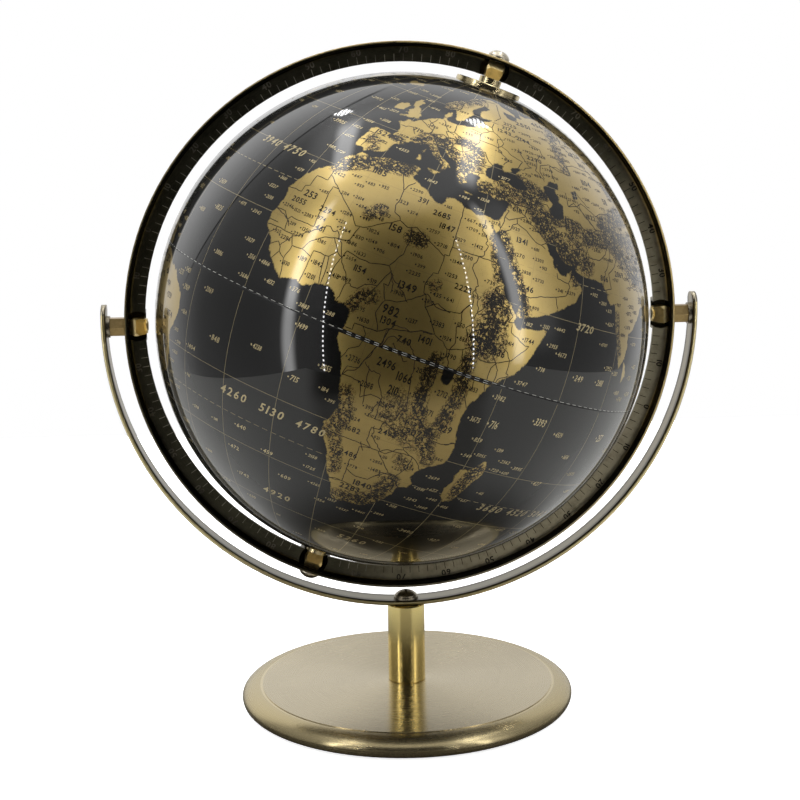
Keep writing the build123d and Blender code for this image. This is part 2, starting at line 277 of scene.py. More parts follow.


# ---------------------------------------------------------------- outlines
# Longitude and latitude in whole degrees or tenths, drawn from general geography.
LAND = """
-5.9 35.8,-2.9 35.2,-1.2 35.7,1.5 36.6,5 36.8,7.5 37,9.8 37.3,11 37,10.5 35.9,11 35.2,10.1 34.3,
10.9 33.6,13 32.9,15.2 32.3,15.8 31.3,18 30.4,19.6 30.5,20.1 31.4,20.1 32.3,21.8 32.9,23.1 32.4,
25.1 31.6,27.5 31.2,29.1 30.9,30.3 31.5,32.3 31.2,32.6 29.9,33.5 28.2,34 26.8,35.5 24.2,35.6 22.8,
37.2 21,37.3 19.5,38.5 18,39.4 15.7,41.2 14.6,42.7 13,43.3 12.4,43 11.5,44.3 10.4,47 11.1,49 11.3,
51.2 11.9,51.1 10.4,49.8 8,48.6 5.2,46.5 2.8,44 1,42.6 -0.4,41 -2.2,39.6 -4.3,38.8 -6.2,39.5 -8,
40.4 -10.4,40.6 -12.8,40.7 -15,39 -16.8,37 -17.9,35 -19.9,34.7 -21.5,35.5 -23,35.4 -24.3,33 -25.3,
32.8 -27,32 -28.8,30.4 -30.8,28 -32.9,25.7 -34,22.5 -34,20 -34.8,18.5 -34.2,18.3 -32.6,17.3 -30.3,
15.8 -27.6,15 -25.5,14.5 -22.8,13.4 -20.5,11.8 -18,11.8 -15.8,13.3 -13.5,13.8 -11,13 -9,12.3 -6.2,
11 -3.9,9.3 -2,8.8 -0.7,9.5 1,9.6 3.4,8.7 4.5,7 4.4,5.8 4.6,5 5.9,3.4 6.4,1.2 6,-2 4.8,-4.5 5.2,
-7.6 4.4,-9.4 5.5,-11.4 6.9,-13 8.2,-13.3 9.4,-15 10.8,-16.7 12.3,-16.6 13.6,-17.4 14.7,-16.5 16,
-16.1 18.5,-16.2 20.2,-17 21,-16 23.6,-14.5 26.2,-12.9 27.7,-11.3 28.8,-9.7 29.8,-9.8 31.3,
-8.5 33.3,-6.8 34.1/49.3 -12.1,50.4 -15.6,49.5 -17.5,48.8 -20,47.2 -24.8,45.2 -25.5,43.8 -23.5,
43.3 -21.9,44.4 -19.9,44 -18,44.5 -16.2,46.5 -15.6,48 -14/-5.6 36,-6.4 36.8,-8.9 37,-9.4 38.7,
-8.8 41.5,-9.2 43.1,-7.8 43.7,-1.8 43.4,-1.2 45.7,-2.5 47.3,-4.7 48.2,-1.6 48.7,-1.6 49.7,
0.2 49.6,1.7 50.9,3.7 51.6,4.8 53,7 53.6,8.7 53.9,8.2 55.6,8.3 57,10.6 57.7,10.8 56.3,9.6 54.9,
11 54,14.2 54,18.7 54.6,21 55.2,21.1 57,22.6 57.7,24.4 57.4,23.7 58.8,26 59.6,30 59.9,26 60.4,
22.9 59.9,21.3 60.8,21.5 63,25.3 65.1,22.2 65.7,17.4 62.3,17.2 60.7,18.9 59.9,16.7 57.9,16.2 56.4,
14.3 55.5,12.8 55.5,11.3 58.9,10.6 59.3,8 58.1,5.6 58.9,5 61,7 63,11 64.8,14.5 67.6,19 69.8,
25.7 71,31 70.2,33 69.4,41 67,40 66,34 66.7,32.6 67,35 64.3,38 64,40.4 64.7,42 66.4,44 66,44 68.3,
48 67.7,54 68.8,60 69,67 68.9,67 71.5,73 72,73 68,75 71.5,80 72.5,87 75,98 76,104 77.5,113 75.5,
110 74,128 72.5,140 72.5,152 71,160 69.7,171 69.9,180 68.8,180 65,177 62.5,170 60,163.5 59.5,
162.5 56.5,156.8 51.2,156 56,163 61.5,157 61.6,152 59,143 59.2,135.5 54.8,141 53,140.5 49,
136 44.5,131 43,127.6 39.8,129.4 37,129 35.2,126.4 34.6,126.8 37,125 38,125 39.6,121.2 38.8,
122 40.6,118 39,119 37.3,122.5 37,119.3 35,121.8 32,121.8 30,119.6 26,117 23.6,113.7 22.3,
110.4 21.1,110 20.4,109.6 21.5,108 21.6,105.8 19,108.8 15.5,109.3 12,106.8 10.4,104.8 8.6,
105 10.3,103 11.3,100.9 13.4,100 12.5,99.3 9.4,100.5 7,103.4 4,104.1 1.4,103.3 1.4,101 3.2,
100.3 6,98.3 8.2,98.7 12,97.7 16.4,95.4 15.8,94.3 18,92.3 20.8,91.8 22.5,90 22,87 21.4,86.8 20.3,
82.3 16.6,80.1 15.3,80.2 13,79.8 10.3,78.2 8.9,77.5 8.1,76.3 10,74.8 13,73.4 16.2,72.8 19.2,
72.7 21.3,70.5 20.8,69 22.3,70.3 22.9,68.2 23.6,67 24.8,64.5 25.2,61.6 25.1,57.3 25.7,56.9 27,
54.5 26.6,52.5 27.5,51 28.9,50.2 30,48.6 30.2,47.9 29.6,48.6 28.2,50.1 26.7,50.8 24.8,51.3 26.1,
51.6 24.7,52.6 24.2,54.2 24.2,56 26.1,56.4 24.8,58.6 23.6,59.8 22.5,58.6 20.4,57.7 19,55.2 17.5,
52.2 15.7,49 14.2,45.1 12.8,43.5 12.7,42.8 15,42.6 16.8,41 19.2,39.1 21.5,38.5 23.6,36.6 25.9,
35 28,35 29.5,34.2 27.8,32.7 29.8,31.5 30,31.5 31,32.3 31.2,34.3 31.3,35 32.8,35.7 34.5,35.9 36,
36.2 36.7,34.6 36.8,32.6 36.1,30.6 36.8,28.2 36.7,27.3 37,26.3 38.3,26.2 39.5,27.4 40.4,26 40.7,
24 40.8,23.3 40.2,22.9 39.4,24 38,23 37.3,22.5 36.5,21.7 36.9,21.2 38,19.4 40.4,19.5 41.8,16 43.5,
13.8 45,13.5 45.7,12.3 45.3,12.4 44.2,14 42.5,16 41.9,18.5 40.1,16.9 40.4,17.1 39,15.7 37.9,
16 39.5,14 41,12.2 41.8,10.3 43.5,8.8 44.4,7 43.5,4.5 43.4,3.2 42.4,3 41.7,0.8 41,-0.2 39.3,
0.1 38.7,-0.8 37.7,-2.1 36.8,-4.4 36.7/-5.6 50.1,-3.5 50.3,1.3 51.2,1.7 52.7,0.3 53,-1.5 55,-3 56,
-1.8 57.5,-4 57.8,-3.1 58.6,-5 58.6,-6.2 56.7,-4.9 54.8,-3 54,-4.6 53.2,-4.2 52.3,-5.2 51.8,
-3 51.5/-6.2 52.2,-6 53.5,-5.6 54.6,-7.3 55.3,-10 54.2,-10 51.8,-8 51.8/-22.5 64,-18.5 63.4,
-13.7 65,-16 66.5,-20 66,-22.5 66.4,-24 65.5,-22 64.4/14 77,17 76.6,21 78.3,27 80,18 80,11 79.5/
52 71,57 70.7,56 73,68 76.5,60 76,53 73/12.5 38,15.6 38.2,15.1 36.7,12.5 37.6/8.2 40.8,9.5 41.2,
9.6 39.2,8.4 39/8.6 42.3,9.4 43,9.5 41.6,8.8 41.5/23.6 35.5,26.3 35.4,26.2 34.9,23.6 35.1/32.3 35,
34.5 35.6,33.9 34.9,32.7 34.6/79.8 9.6,81.2 8.6,81.8 7,80.4 5.9,79.8 7.5/95.3 5.5,97.5 5.2,
100.5 2.5,103.5 0,106 -3.2,105.7 -5.8,103 -4.5,100.4 -1,98 1.8/105.2 -6.6,106.8 -6,110.8 -6.4,
114.4 -7.6,114 -8.6,109 -7.8/109 1.5,111.3 2.5,113 3.3,116.8 7,119 5.2,117.7 3.5,118.5 1,117 -1,
116 -4,112 -3.4,110 -1.5/119.5 -5.5,120.4 -5.5,120.5 -3,121.5 -4.7,122.8 -4.8,122 -2.8,123.3 -0.8,
121 -1,120.2 0.5,125 1.5,121 1.2,119.7 0,118.8 -2.8/131 -0.8,134.3 -0.8,135 -3.3,138 -1.6,
141 -2.6,145 -4.3,147.8 -6.3,150.8 -10.4,147 -9.4,144 -7.7,141 -9.1,138 -8.3,138.5 -6,135.5 -4.4,
133 -4,132 -2.8/113.7 -22.5,114.2 -26.3,115.7 -31.6,115 -34.3,118 -35,124 -33,129 -31.6,132 -32,
135.6 -34.8,138 -33,138 -35.6,140.5 -38,144.5 -38.2,146.4 -39.1,150 -37.4,151.3 -33.5,153.1 -30.5,
153.2 -26,150.8 -23.3,148.3 -20.2,146 -18.8,145.3 -15,143.5 -14.2,142.5 -10.8,141.6 -13.5,
140.8 -17.5,139 -17.4,135.7 -15,137 -12.3,132.6 -11.4,130.6 -12.6,129.5 -15,126.7 -14,122.2 -18,
119 -20/144.7 -40.7,148.3 -40.9,147.9 -43.2,146 -43.6/172.8 -34.5,175.5 -36.8,178.4 -37.7,
177 -39.5,175.2 -41.5,173.8 -39.3,174.7 -37/172.7 -40.6,174.2 -41.6,172.7 -43.7,170.8 -45.8,
168.5 -46.6,166.6 -46,170 -43/130.9 34,133 35.5,136.8 37.3,139.5 38.5,140.2 41.2,141.8 40,
140.8 35.8,139 34.7,136 33.6,133 34.3/130 33.5,131.8 33.5,131.3 31.3,130.2 31.3/140 42,141.7 45.4,
145.3 43.8,143.3 42/142 46,143.5 49,143 54,142 51/121.5 25.2,120.9 22,120.1 23/108.7 19.3,
110.8 20,110.3 18.4/120.5 18.5,122.2 18.4,121.6 15.5,124 13,120.7 13.8,119.9 16/122 7,125.4 9.8,
126.4 7.5,125.4 5.7,123.5 7.5/-168 65.6,-161.5 66.3,-166 68.3,-156.6 71.3,-141 69.6,-128 70.3,
-115 68.3,-108 67.8,-96 68.2,-94.5 71.8,-90 69,-82 69.5,-87 67,-87 64.5,-94 61,-94.5 58.8,
-92.4 57,-88 56.5,-82.4 55.2,-82 52.8,-79 51.5,-79.5 54.5,-76.7 57.5,-78 62.3,-73.5 62,-70 60.9,
-69.6 58.9,-66 58.7,-64.5 60.3,-61.5 56.3,-57 53.5,-56 51.5,-60 50.2,-66.5 50.2,-70 47,-65.2 49.1,
-64.5 46.5,-61 45.9,-65.7 43.6,-67 44.8,-70.6 43.2,-70 41.8,-74 40.6,-76 37,-75.6 35.2,-78 33.9,
-81.3 31.2,-80.1 26.5,-81 25.2,-82.7 28,-84 30,-89.5 30.2,-90 29.2,-94 29.5,-97.2 27.7,-97.8 22.5,
-95.5 18.7,-91.5 18.6,-90.4 21,-87 21.5,-88.2 17,-88.6 15.8,-83.3 15,-83.7 11,-81.5 9,-79.5 9.6,
-77 8.8,-77 7.4,-78 7.6,-80 7.4,-83 8.3,-85.7 10,-87.5 13,-92 14.5,-94.5 16.2,-98.5 16.5,-102 18,
-105.5 20.5,-106.5 23.5,-109.5 26.7,-112.5 30,-114.7 31.7,-112.8 28,-109.5 23,-112 25,-114.8 28,
-117 32.4,-120.6 34.6,-122.5 37.5,-124.3 40.4,-124 46.3,-124.7 48.4,-122.6 47.5,-123 49.2,
-127.8 51.2,-130.5 54.8,-135 58.5,-139.7 59.6,-146 60.8,-151.7 59.2,-151 61,-154 59,-158 56.3,
-164.6 54.6,-158 58.6,-162 59,-165.3 62,-161 64.4,-166.4 64.5/-78.5 8.2,-77.4 8.6,-75.5 10.7,
-72 12,-71.5 11,-68 10.7,-64 10.3,-62 10.7,-60 8.5,-57 6,-54 5.8,-51.5 4.3,-50 1.2,-50 -0.6,
-48 -0.7,-44.4 -2.5,-41 -2.9,-37.5 -4.6,-35.3 -5.5,-34.8 -7.8,-37 -11,-39 -13.5,-39 -17.5,
-40.8 -21.5,-42 -23,-46 -24,-48.6 -26,-48.7 -28.5,-50.2 -30.3,-53.4 -33.8,-56.2 -34.9,-58.4 -34,
-57.2 -36,-57.8 -38.1,-62.2 -39,-62.3 -40.8,-65 -41,-64 -42.6,-65.3 -44.7,-67.5 -46,-65.8 -47.8,
-69 -50.5,-68.3 -52.4,-65.2 -54.7,-69 -55.3,-73.5 -53,-75.5 -48.5,-74.3 -44,-73.5 -41.5,-73.5 -37,
-71.5 -33,-71.4 -29.5,-70.2 -23.5,-70.3 -18.4,-76.2 -14,-79.7 -7.5,-81.3 -5,-80 -2.8,-80.9 -1,
-80 1,-78.5 2.6,-77.3 4,-77.5 7.2/-45 60,-42.5 62.5,-40 65,-32 68,-22 70.2,-20 75,-18 80,-32 83.5,
-45 82.5,-60 82,-66 80.2,-72 78.3,-66 76,-58 75.5,-54.5 71,-51 69,-53.5 66.5,-51.5 63.5,-48.5 61/
-62 66.5,-68 69.5,-78 73,-88 73.5,-80 70,-73 67.5,-78 64.5,-66 62/-90 76.5,-80 76.2,-76 79,
-62 82.5,-80 83,-92 81/-117 71,-105 73,-102 69.2,-115 69/-84.8 22,-80 23.1,-74.3 20.3,-77.5 19.9,
-82 22.3/-74 18.4,-72.8 19.9,-69.9 19.8,-68.4 18.6,-71.5 17.7/-59.2 47.7,-55.8 51.5,-53 47.2,
-56 47/-180 -78,-160 -77.5,-150 -77,-130 -74,-100 -73,-75 -73,-68 -68,-58 -63.4,-61 -68,-61 -74,
-50 -78,-35 -78,-20 -73.5,0 -70,30 -69.5,50 -66.5,70 -68.5,75 -69.5,90 -66.5,110 -66,130 -66.2,
145 -67,160 -70,170 -72,164 -77,180 -78,180 -90,-180 -90/-180 68.8,-175 67.4,-170 66,-173 64.3,
-180 65
"""
WATER = """
28.1 41.5,28 43.3,29.7 45,31 46.5,33 46.1,32.6 45.4,33.7 44.5,35.3 45.1,36.6 45.3,35.2 46.2,
37.5 47,39.2 47.1,37.8 45.8,37.4 44.8,39 44,41.5 42.5,41.4 41.5,38 41,35.2 42,33.3 42,31 41.2,
29 41.3/49.8 46.5,53 46.7,53 45.2,51.2 44.5,52.8 42.7,52.6 41.6,53.8 40.7,53.5 37.4,51 36.8,
49 37.7,49 39,50.3 40.3,48.6 41.8,47.5 43,47.5 44.5/58.5 45.5,61 46.5,61 44.5,59 43.8/31.8 -0.5,
33.8 0.3,34 -1.2,33 -2.6,31.8 -2.2/-92 46.7,-87 48.7,-84.7 46.6,-88 46.9/-87.8 42,-86 45.8,
-85.2 45.8,-86.5 42/-84 46,-80 45.5,-82.5 43.3,-83.8 44/104 51.5,108.5 53.5,109.7 55.7,108 54.8,
105 52
"""
BORDERS = """
-2.2 35.1,-1.7 33.5,-1.2 32.3,-3 31,-5.5 30,-8.7 28.7,-8.7 27.4/-8.7 27.4,-4.8 25,1.2 21.1,3.2 19,
4.3 19.1/4.3 19.1,5.8 19.5,12 23.5/12 23.5,11.6 24.3,10 24.8,9.4 26.3,9.9 28,9.6 30.2,8.3 32.5,
7.6 34,8.2 35.5,8.6 36.9/9.6 30.2,10.3 31.7,11.5 33.1/-8.7 27.7,-8.7 26,-12 26,-12 23.4,-13 23,
-13.1 21.4,-17 21.3/-4.8 25,-6.5 25,-5.5 16.3,-5.4 15.5,-9.3 15.5,-11.5 15.6,-12.2 14.8/
-12.2 14.8,-14 16.3,-16.4 16.2/-12.2 14.8,-11.4 12.4,-13.7 12.6,-16.7 12.4/-16.6 13.5,-14 13.4/
-13.7 12.6,-13.7 11.8,-15 10.9/-11.4 12.4,-9.3 12.4,-8 10.2/-13.2 9,-11.5 10,-10.6 9.1,-10.3 8.5/
-11.4 6.9,-10.3 8.5,-8.5 7.6,-7.5 4.4/-8.5 7.6,-8 10.2,-5.5 10.4/-5.5 10.4,-4.4 12.4,-2 14.2,
0.2 15,2.2 12.6,0.9 11,-2.8 11,-2.8 9.7,-5.5 10.4/-2.8 9.7,-3 5.1/0 11,0.5 8.5,1.2 6.1/0.9 11,
1.6 9,1.6 6.2/2.7 6.4,2.8 9,3.6 11.7/0.2 15,3.5 15.4,4.3 19.1/2.2 12.6,3.6 11.7,4.1 13.5,7 13,
9.5 12.8,13.6 13.7/13.6 13.7,15.5 16.9,15.9 20.4,15 23/12 23.5,14.2 22.6,15 23,16 23.4,24 19.5/
25 31.7,25 22,25 20,24 20,24 15.7/25 22,31.4 22,33.2 22,36.9 22/24 15.7,22.9 15.5,22 13,22.5 11,
23 10.9/8.6 4.8,10.1 7,11.8 7,13 9.4,14.5 12.8,13.6 13.7/14.5 12.8,15.1 11.5,15 10,14 10,15.5 7.5/
15.5 7.5,18.5 8.1,20.5 9.2,23 10.9/23 10.9,23.7 8.7,25.2 7.5,27.4 5.1/15.5 7.5,14.5 5,16.1 3,
16.2 2.2/18.5 3.5,22.4 4.1,25 4.9,27.4 5.1/16.2 2.2,18.5 3.5,17.8 0.3,16.2 -2.2,15.3 -4.3,13 -4.6,
12.4 -5.9/9.8 1,11.3 1,11.3 2.2,13.2 2.2,16.2 2.2/13.2 2.2,14.3 1,13.9 -1.4,12 -2.4,11.1 -3.9/
12.4 -5.9,16.6 -5.9,17.5 -8,19.5 -7,21.8 -7.3,22 -11,24 -11,23.9 -13/11.8 -17.2,14 -17.4,
18.5 -17.4,23.4 -17.6/24 -13,22 -13,22 -16.2,23.4 -17.6/24 -10.9,25.4 -11.5,27.5 -12,29.8 -13.4,
29.8 -12.2,28.4 -11.8,28.6 -8.5,30.8 -8.3,32.9 -9.4,33.3 -12.4,32.7 -13.6,33.2 -14/33.2 -14,
34.5 -14.5,35.3 -17.1/34.9 -12,34.3 -9.6/33.2 -14,30.2 -15,30.4 -15.6,28.9 -16,27 -17.9,
25.3 -17.8/30.4 -15.6,32.9 -16.7,32.8 -19.5,31.3 -22.4/25.3 -17.8,27.7 -20.5,29.4 -22.2,
31.3 -22.4/25.3 -17.8,23.4 -17.6,21 -18.3,21 -22,20 -22,20 -28.4/20 -28.4,18 -28.9,16.5 -28.6/
20 -24.8,22.6 -26,25.6 -25.6,26.8 -24.2,29.4 -22.2/31.3 -22.4,32 -25,31.9 -26.8,32.9 -26.9/
27.1 -29.7,28.4 -28.6,29.4 -29.5,28.1 -30.6,27.1 -29.7/34.6 -11.5,37.5 -11.7,40.4 -10.5/39.2 -4.7,
37.6 -3,33.9 -1,30.5 -1/30.5 -1,29.6 -1.4,29.8 1,31.2 2.2,30.8 3.5,29.6 4.4,27.4 5.1/30.8 3.5,
33.9 4.2,35.3 5/33.9 -1,34.1 0.3,34.9 2,34 4.2/29.6 -1.4,29 -2.7,29.4 -4.4,30.7 -3,30.5 -1/35.3 5,
36 4.4,38.1 3.6,39.5 3.4,41.9 3.9/41.5 -1.7,41 -0.8,41 2.8,41.9 3.9/41.9 3.9,44.9 4.9,48 8,47 8,
43 9.4,42.7 10.9/35.3 5,33 7.8,34.1 8.6,34.3 10.6,36 12.7,36.5 14.3/23.7 8.7,26 10.1,28 9.4,
31 9.8,32.3 11.7,33 12.2,33 10.6,34.1 9/36.5 14.3,37 17,38.6 18/36.5 14.3,39 14.6,40.8 14.1,
42.4 12.5/42.4 12.5,41.8 11,43.2 11.4/34.3 31.3,35 29.5,35.5 31.5,35.6 32.7,36 33.8,36.4 34.6,
35.9 34.6/35.6 32.7,36.8 32.3,38.8 33.4,41 34.4,41.3 36.4,42.4 37.1/35 29.4,36 29.2,37.5 30,
38 31.5,39.2 32.1,38.8 33.4/39.2 32.1,42 31.1,44.7 29.2,46.5 29.1,47.7 28.5/46.5 29.1,47.9 30/
36.2 35.9,36.7 36.8,38 36.8,40.7 37.1,42.4 37.1,44.8 37.2/44.8 37.2,46 35.8,45.5 34,47.7 31,
48.5 30/42.8 16.4,43.2 17.4,45.4 17.3,48.2 18.2,52 19,53.1 16.7/52 19,55 20,55.7 22,55.2 22.7,
52 23,51.6 24.2/55.2 22.7,56 24.3,56.3 25/53.9 37.3,56.3 38.1,59.4 37.4,61.2 36.6/61.2 36.6,
60.6 34,61.7 31.4,60.9 29.8,62.7 27.2,61.7 25.1/60.9 29.8,66.3 29.9,69.3 31.9,71.2 34.5,74.9 37.2/
61.2 36.6,64.5 36.3,66.6 37.4,70.5 37.6,71.5 36.7,74.9 37.2/68.2 23.7,71 24.4,70 27.5,73 29.5,
74.6 31.5,74.5 33.5,77.8 35.5/77.8 35.5,79 32.5,81 30.2,86 28,88.8 27.8,92 27.8,97.3 28.2/55.9 45,
56 41.3,60 42.2,61.9 43.5,66 42,68 41.1,71 42.3,75 42.8,80.2 42.2/48 46.7,46.5 48.5,47 50.5,
51 51.7,55 50.8,61 50.8,61 53.5,65 54.4,71 54.2,76 54.2,77 53,80 50.9,83 51,87.3 49.1/56 41.3,
58.5 42.7,62 41,66.6 37.4/40 43.4,43 43.2,46.5 41.9,48.6 41.8/41.5 41.5,45 41.3,46.5 41.9/
43.5 41.1,45 39.6,48 39.7,48.9 38.4/43.5 41.1,44.8 39.7,44.3 38,44.8 37.2/-8.8 41.9,-6.6 41.9,
-7 39.6,-7.4 37.2/-1.8 43.4,0.7 42.8,3.2 42.4/7.5 43.8,6.9 45,7 46,6 46.3,7.6 47.6,8.2 49,
6.4 49.5,2.5 51.1/7 45.9,9 46.4,10.5 46.9,12.4 46.7,13.7 46.5,13.8 45.6/7.6 47.6,9.6 47.5,13 47.6,
13.8 48.8,12.2 50.3,14.8 50.9,14.4 53.9/6.4 49.5,6 51,7 52.4,7.2 53.3/14.8 50.9,16.2 50.4,
18.8 49.5,22.6 49.1,24 50.8,23.6 52.5,23.9 54,19.8 54.4/13.8 48.8,16.9 48.7,17.1 48,16.1 46.9,
16.4 46.4,18.8 45.9,20.3 46.1,22.9 48,22.6 49.1/17.1 48,18.8 47.8,20.5 48.5,22.1 48.4/13.7 45.5,
15.7 45.2,16.5 46.4/15.8 45,18.9 45,19.4 43.6,17.7 43/20.3 46.1,22.7 44.2,28.1 43.8/22.7 44.2,
22.4 42.3,21 40.9/20 39.7,21 40.9,23 41.3,26.3 41.7,26 40.8/26.3 41.7,28 42/22.9 48,24.9 47.7,
26.6 48.3,28.2 46,29.6 45.3/23.6 51.5,27.5 51.5,30.5 51.3,31.8 52.1,34.4 51.2,35.6 50.4,39.8 49.6,
38.2 47.1/23.9 54,26.6 55.7,28.2 56.2,27.4 57.5,28 59.5/21 56,24.3 56.3,26.6 55.7/24.4 57.9,
27.4 57.5/28.2 56.2,31 55,32.6 53.4,31.8 52.1/11.2 59,12.5 61,12 63.5,14.5 66.2,18 68.4,20.5 69.1,
25 69.2,29 69.8/27.7 60.5,31.2 62.8,30 65.8,29 69.2/24 65.8,23.6 67.9,20.5 69.1/87.3 49.1,91 46.6,
96 42.7,105 41.6,112 43.5,116 46,120 47/87.3 49.1,98 50.5,108 49.5,116.7 49.9,120 53.3,127.5 50,
131 47.7,131 43/92.3 20.9,92.6 24,97.3 28.2,98.7 24.5,101.2 21.5,106 22.8,108 21.5/98.2 10,
98.2 16.5,97.4 18.6,100.1 20.3,101.2 21.5/100.1 20.3,101.2 17.6,104 18.2,105.5 14.4,107.6 14.5/
102.9 11.7,102.6 14.3,105.5 14.4/102.2 22.4,104.5 20,107.6 14.5,105 10.6/-123 49,-95 49,-89 48,
-83 45.8,-79 43,-75 45,-71 45.2,-67.5 47,-67 45/-141 69.6,-141 60.3,-135 58.8,-130 55.5/-117 32.5,
-111 31.3,-106.5 31.8,-104.5 29.6,-101 29.5,-97.3 25.9/-51.5 4,-54.5 2.3,-60 5,-63.5 2.2,-67 1.2,
-69.8 -1,-70 -4.2,-73.5 -7.5,-70.5 -9.5,-69.5 -10.9,-65.3 -10,-60 -13.8,-58 -19.8,-55.7 -22.3,
-54.6 -25.6,-53.7 -27,-57.6 -30.2,-53.4 -33.7/-70 -4.2,-72.5 -2.4,-77.8 0.8/-71.9 12,-72.5 8.5,
-67.4 6.2,-67 1.2/-80.3 -3.4,-78.4 -4.9,-75.3 -0.2/-70.4 -18.3,-69 -15.5,-69.5 -10.9/-67 -22.8,
-68.4 -24.5,-70 -33,-71.8 -39,-72 -50,-68.6 -52.5/-67 -22.8,-62.8 -22,-57.7 -25.3,-57.6 -27.3/
129 -14.9,129 -31.6/138 -16.6,138 -26,141 -26,141 -38
"""
RIVERS = """
31.1 30.2,31 28,32.7 26,32.9 24,31.5 21.8,30.5 19.5,32 18,33 16.5,32.5 15.6,32.6 12,31.5 9.5,
31.7 5,31.5 2.5,32.5 0.5/32.5 15.6,34.5 12,35 10.5,37.2 11.7/6 4.5,6.6 7.5,4.5 10.5,3.5 12,0 16.5,
-3 16.7,-5 14.5,-8 12.5,-10.8 9.3/6.7 7.8,9 8,13 9.3/12.4 -6,15.3 -4.3,16.2 -2,17.7 0,19 1.7,
22.5 2.2,25.2 0.5,26 -3,27 -6,26 -10/17.7 -0.5,18.6 4.3,22.5 4.1,27 5/16.2 -3.2,20 -4.5,21.8 -7,
20 -11/17 -3.5,18 -6,18.5 -9/36.2 -18.8,33 -16.5,28 -16.5,25.8 -17.9,23 -15,22.5 -12.5/16.5 -28.6,
20 -28.5,23 -29,27 -30.3/33.5 -25.2,31.5 -22.4,28 -22.8,26.5 -24.5/-16.4 16,-13 15.5,-11 13.5/
14.5 13,17 10.5,20 8.5/15.3 12.2,16 9/42.5 -0.2,42.3 3,40 5.5/42.5 -0.2,45 2,44 5,42 7/38 -2.5,
39 -0.5,37.5 0/23 11,26 9.5,29 9.5/20 1,22 -0.5,24 -1/21 -17,22 -19/40 -10.5,38 -11.5/48 30,
46 32.5,44.3 33.5,43 36.5,40.5 38/47.3 31,44 32,41 34.5,38.5 36.5,39 39/29.6 45.2,27.5 44.1,
23 43.8,20.5 45,19 47.5,16.5 48.2,12 48.9,9 48/33 46.6,35 48,32 49.5,30.6 51.5,30.5 54,33 55/
47.8 46,45 48.5,46 51.5,49 54.5,48.5 56,44 56.4,39 58,35 57/39.3 47.2,43 48.8,40 51,38.5 53.5/
52 47,51.5 51,55 52,58 51/67.5 24,68.7 28,71 31,72 34.5,75 35.5,80 32/89 22.5,87 25.3,82 25.5,
79 28.5/4.5 51.8,7 51,8.3 49,7.6 47.6/9 53.8,13 51,15 50/-9 38.8,-6 39.7,-2 40.6/-2 47.2,2 47.8,
4 46/66 43,63 44.5,61 46/60 43.5,62 41,66 37.5/69 66.5,66 61,69 58,73 55,77 53,82 51/82 70,87 66,
90 61,92 56,95 52/127 72,124 67,129 62,120 60,108 55/121 31.5,115 30,110 30,104 28.5,98 28,94 34/
118.5 38,114 35,110 37,107 40,103 36,97 34.5/141 53,135 48.5,127 50,120 53/-50.5 -0.5,-55 -2.3,
-60 -3.3,-65 -3,-70 -4,-74 -4.5/-60 -3.2,-62 -7,-64.5 -10/-58.5 -34,-60 -31,-58.5 -27,-54 -25/
-62 9,-66 7,-68 4/-89.5 29.5,-91 33,-89.5 37,-91 41,-94 46/-90.3 38.8,-95 40,-100 45,-107 48/
-70 47,-75 45.5,-79 43.8/-135 69,-125 63,-117 61/139 -35.5,142 -34,147 -36
"""
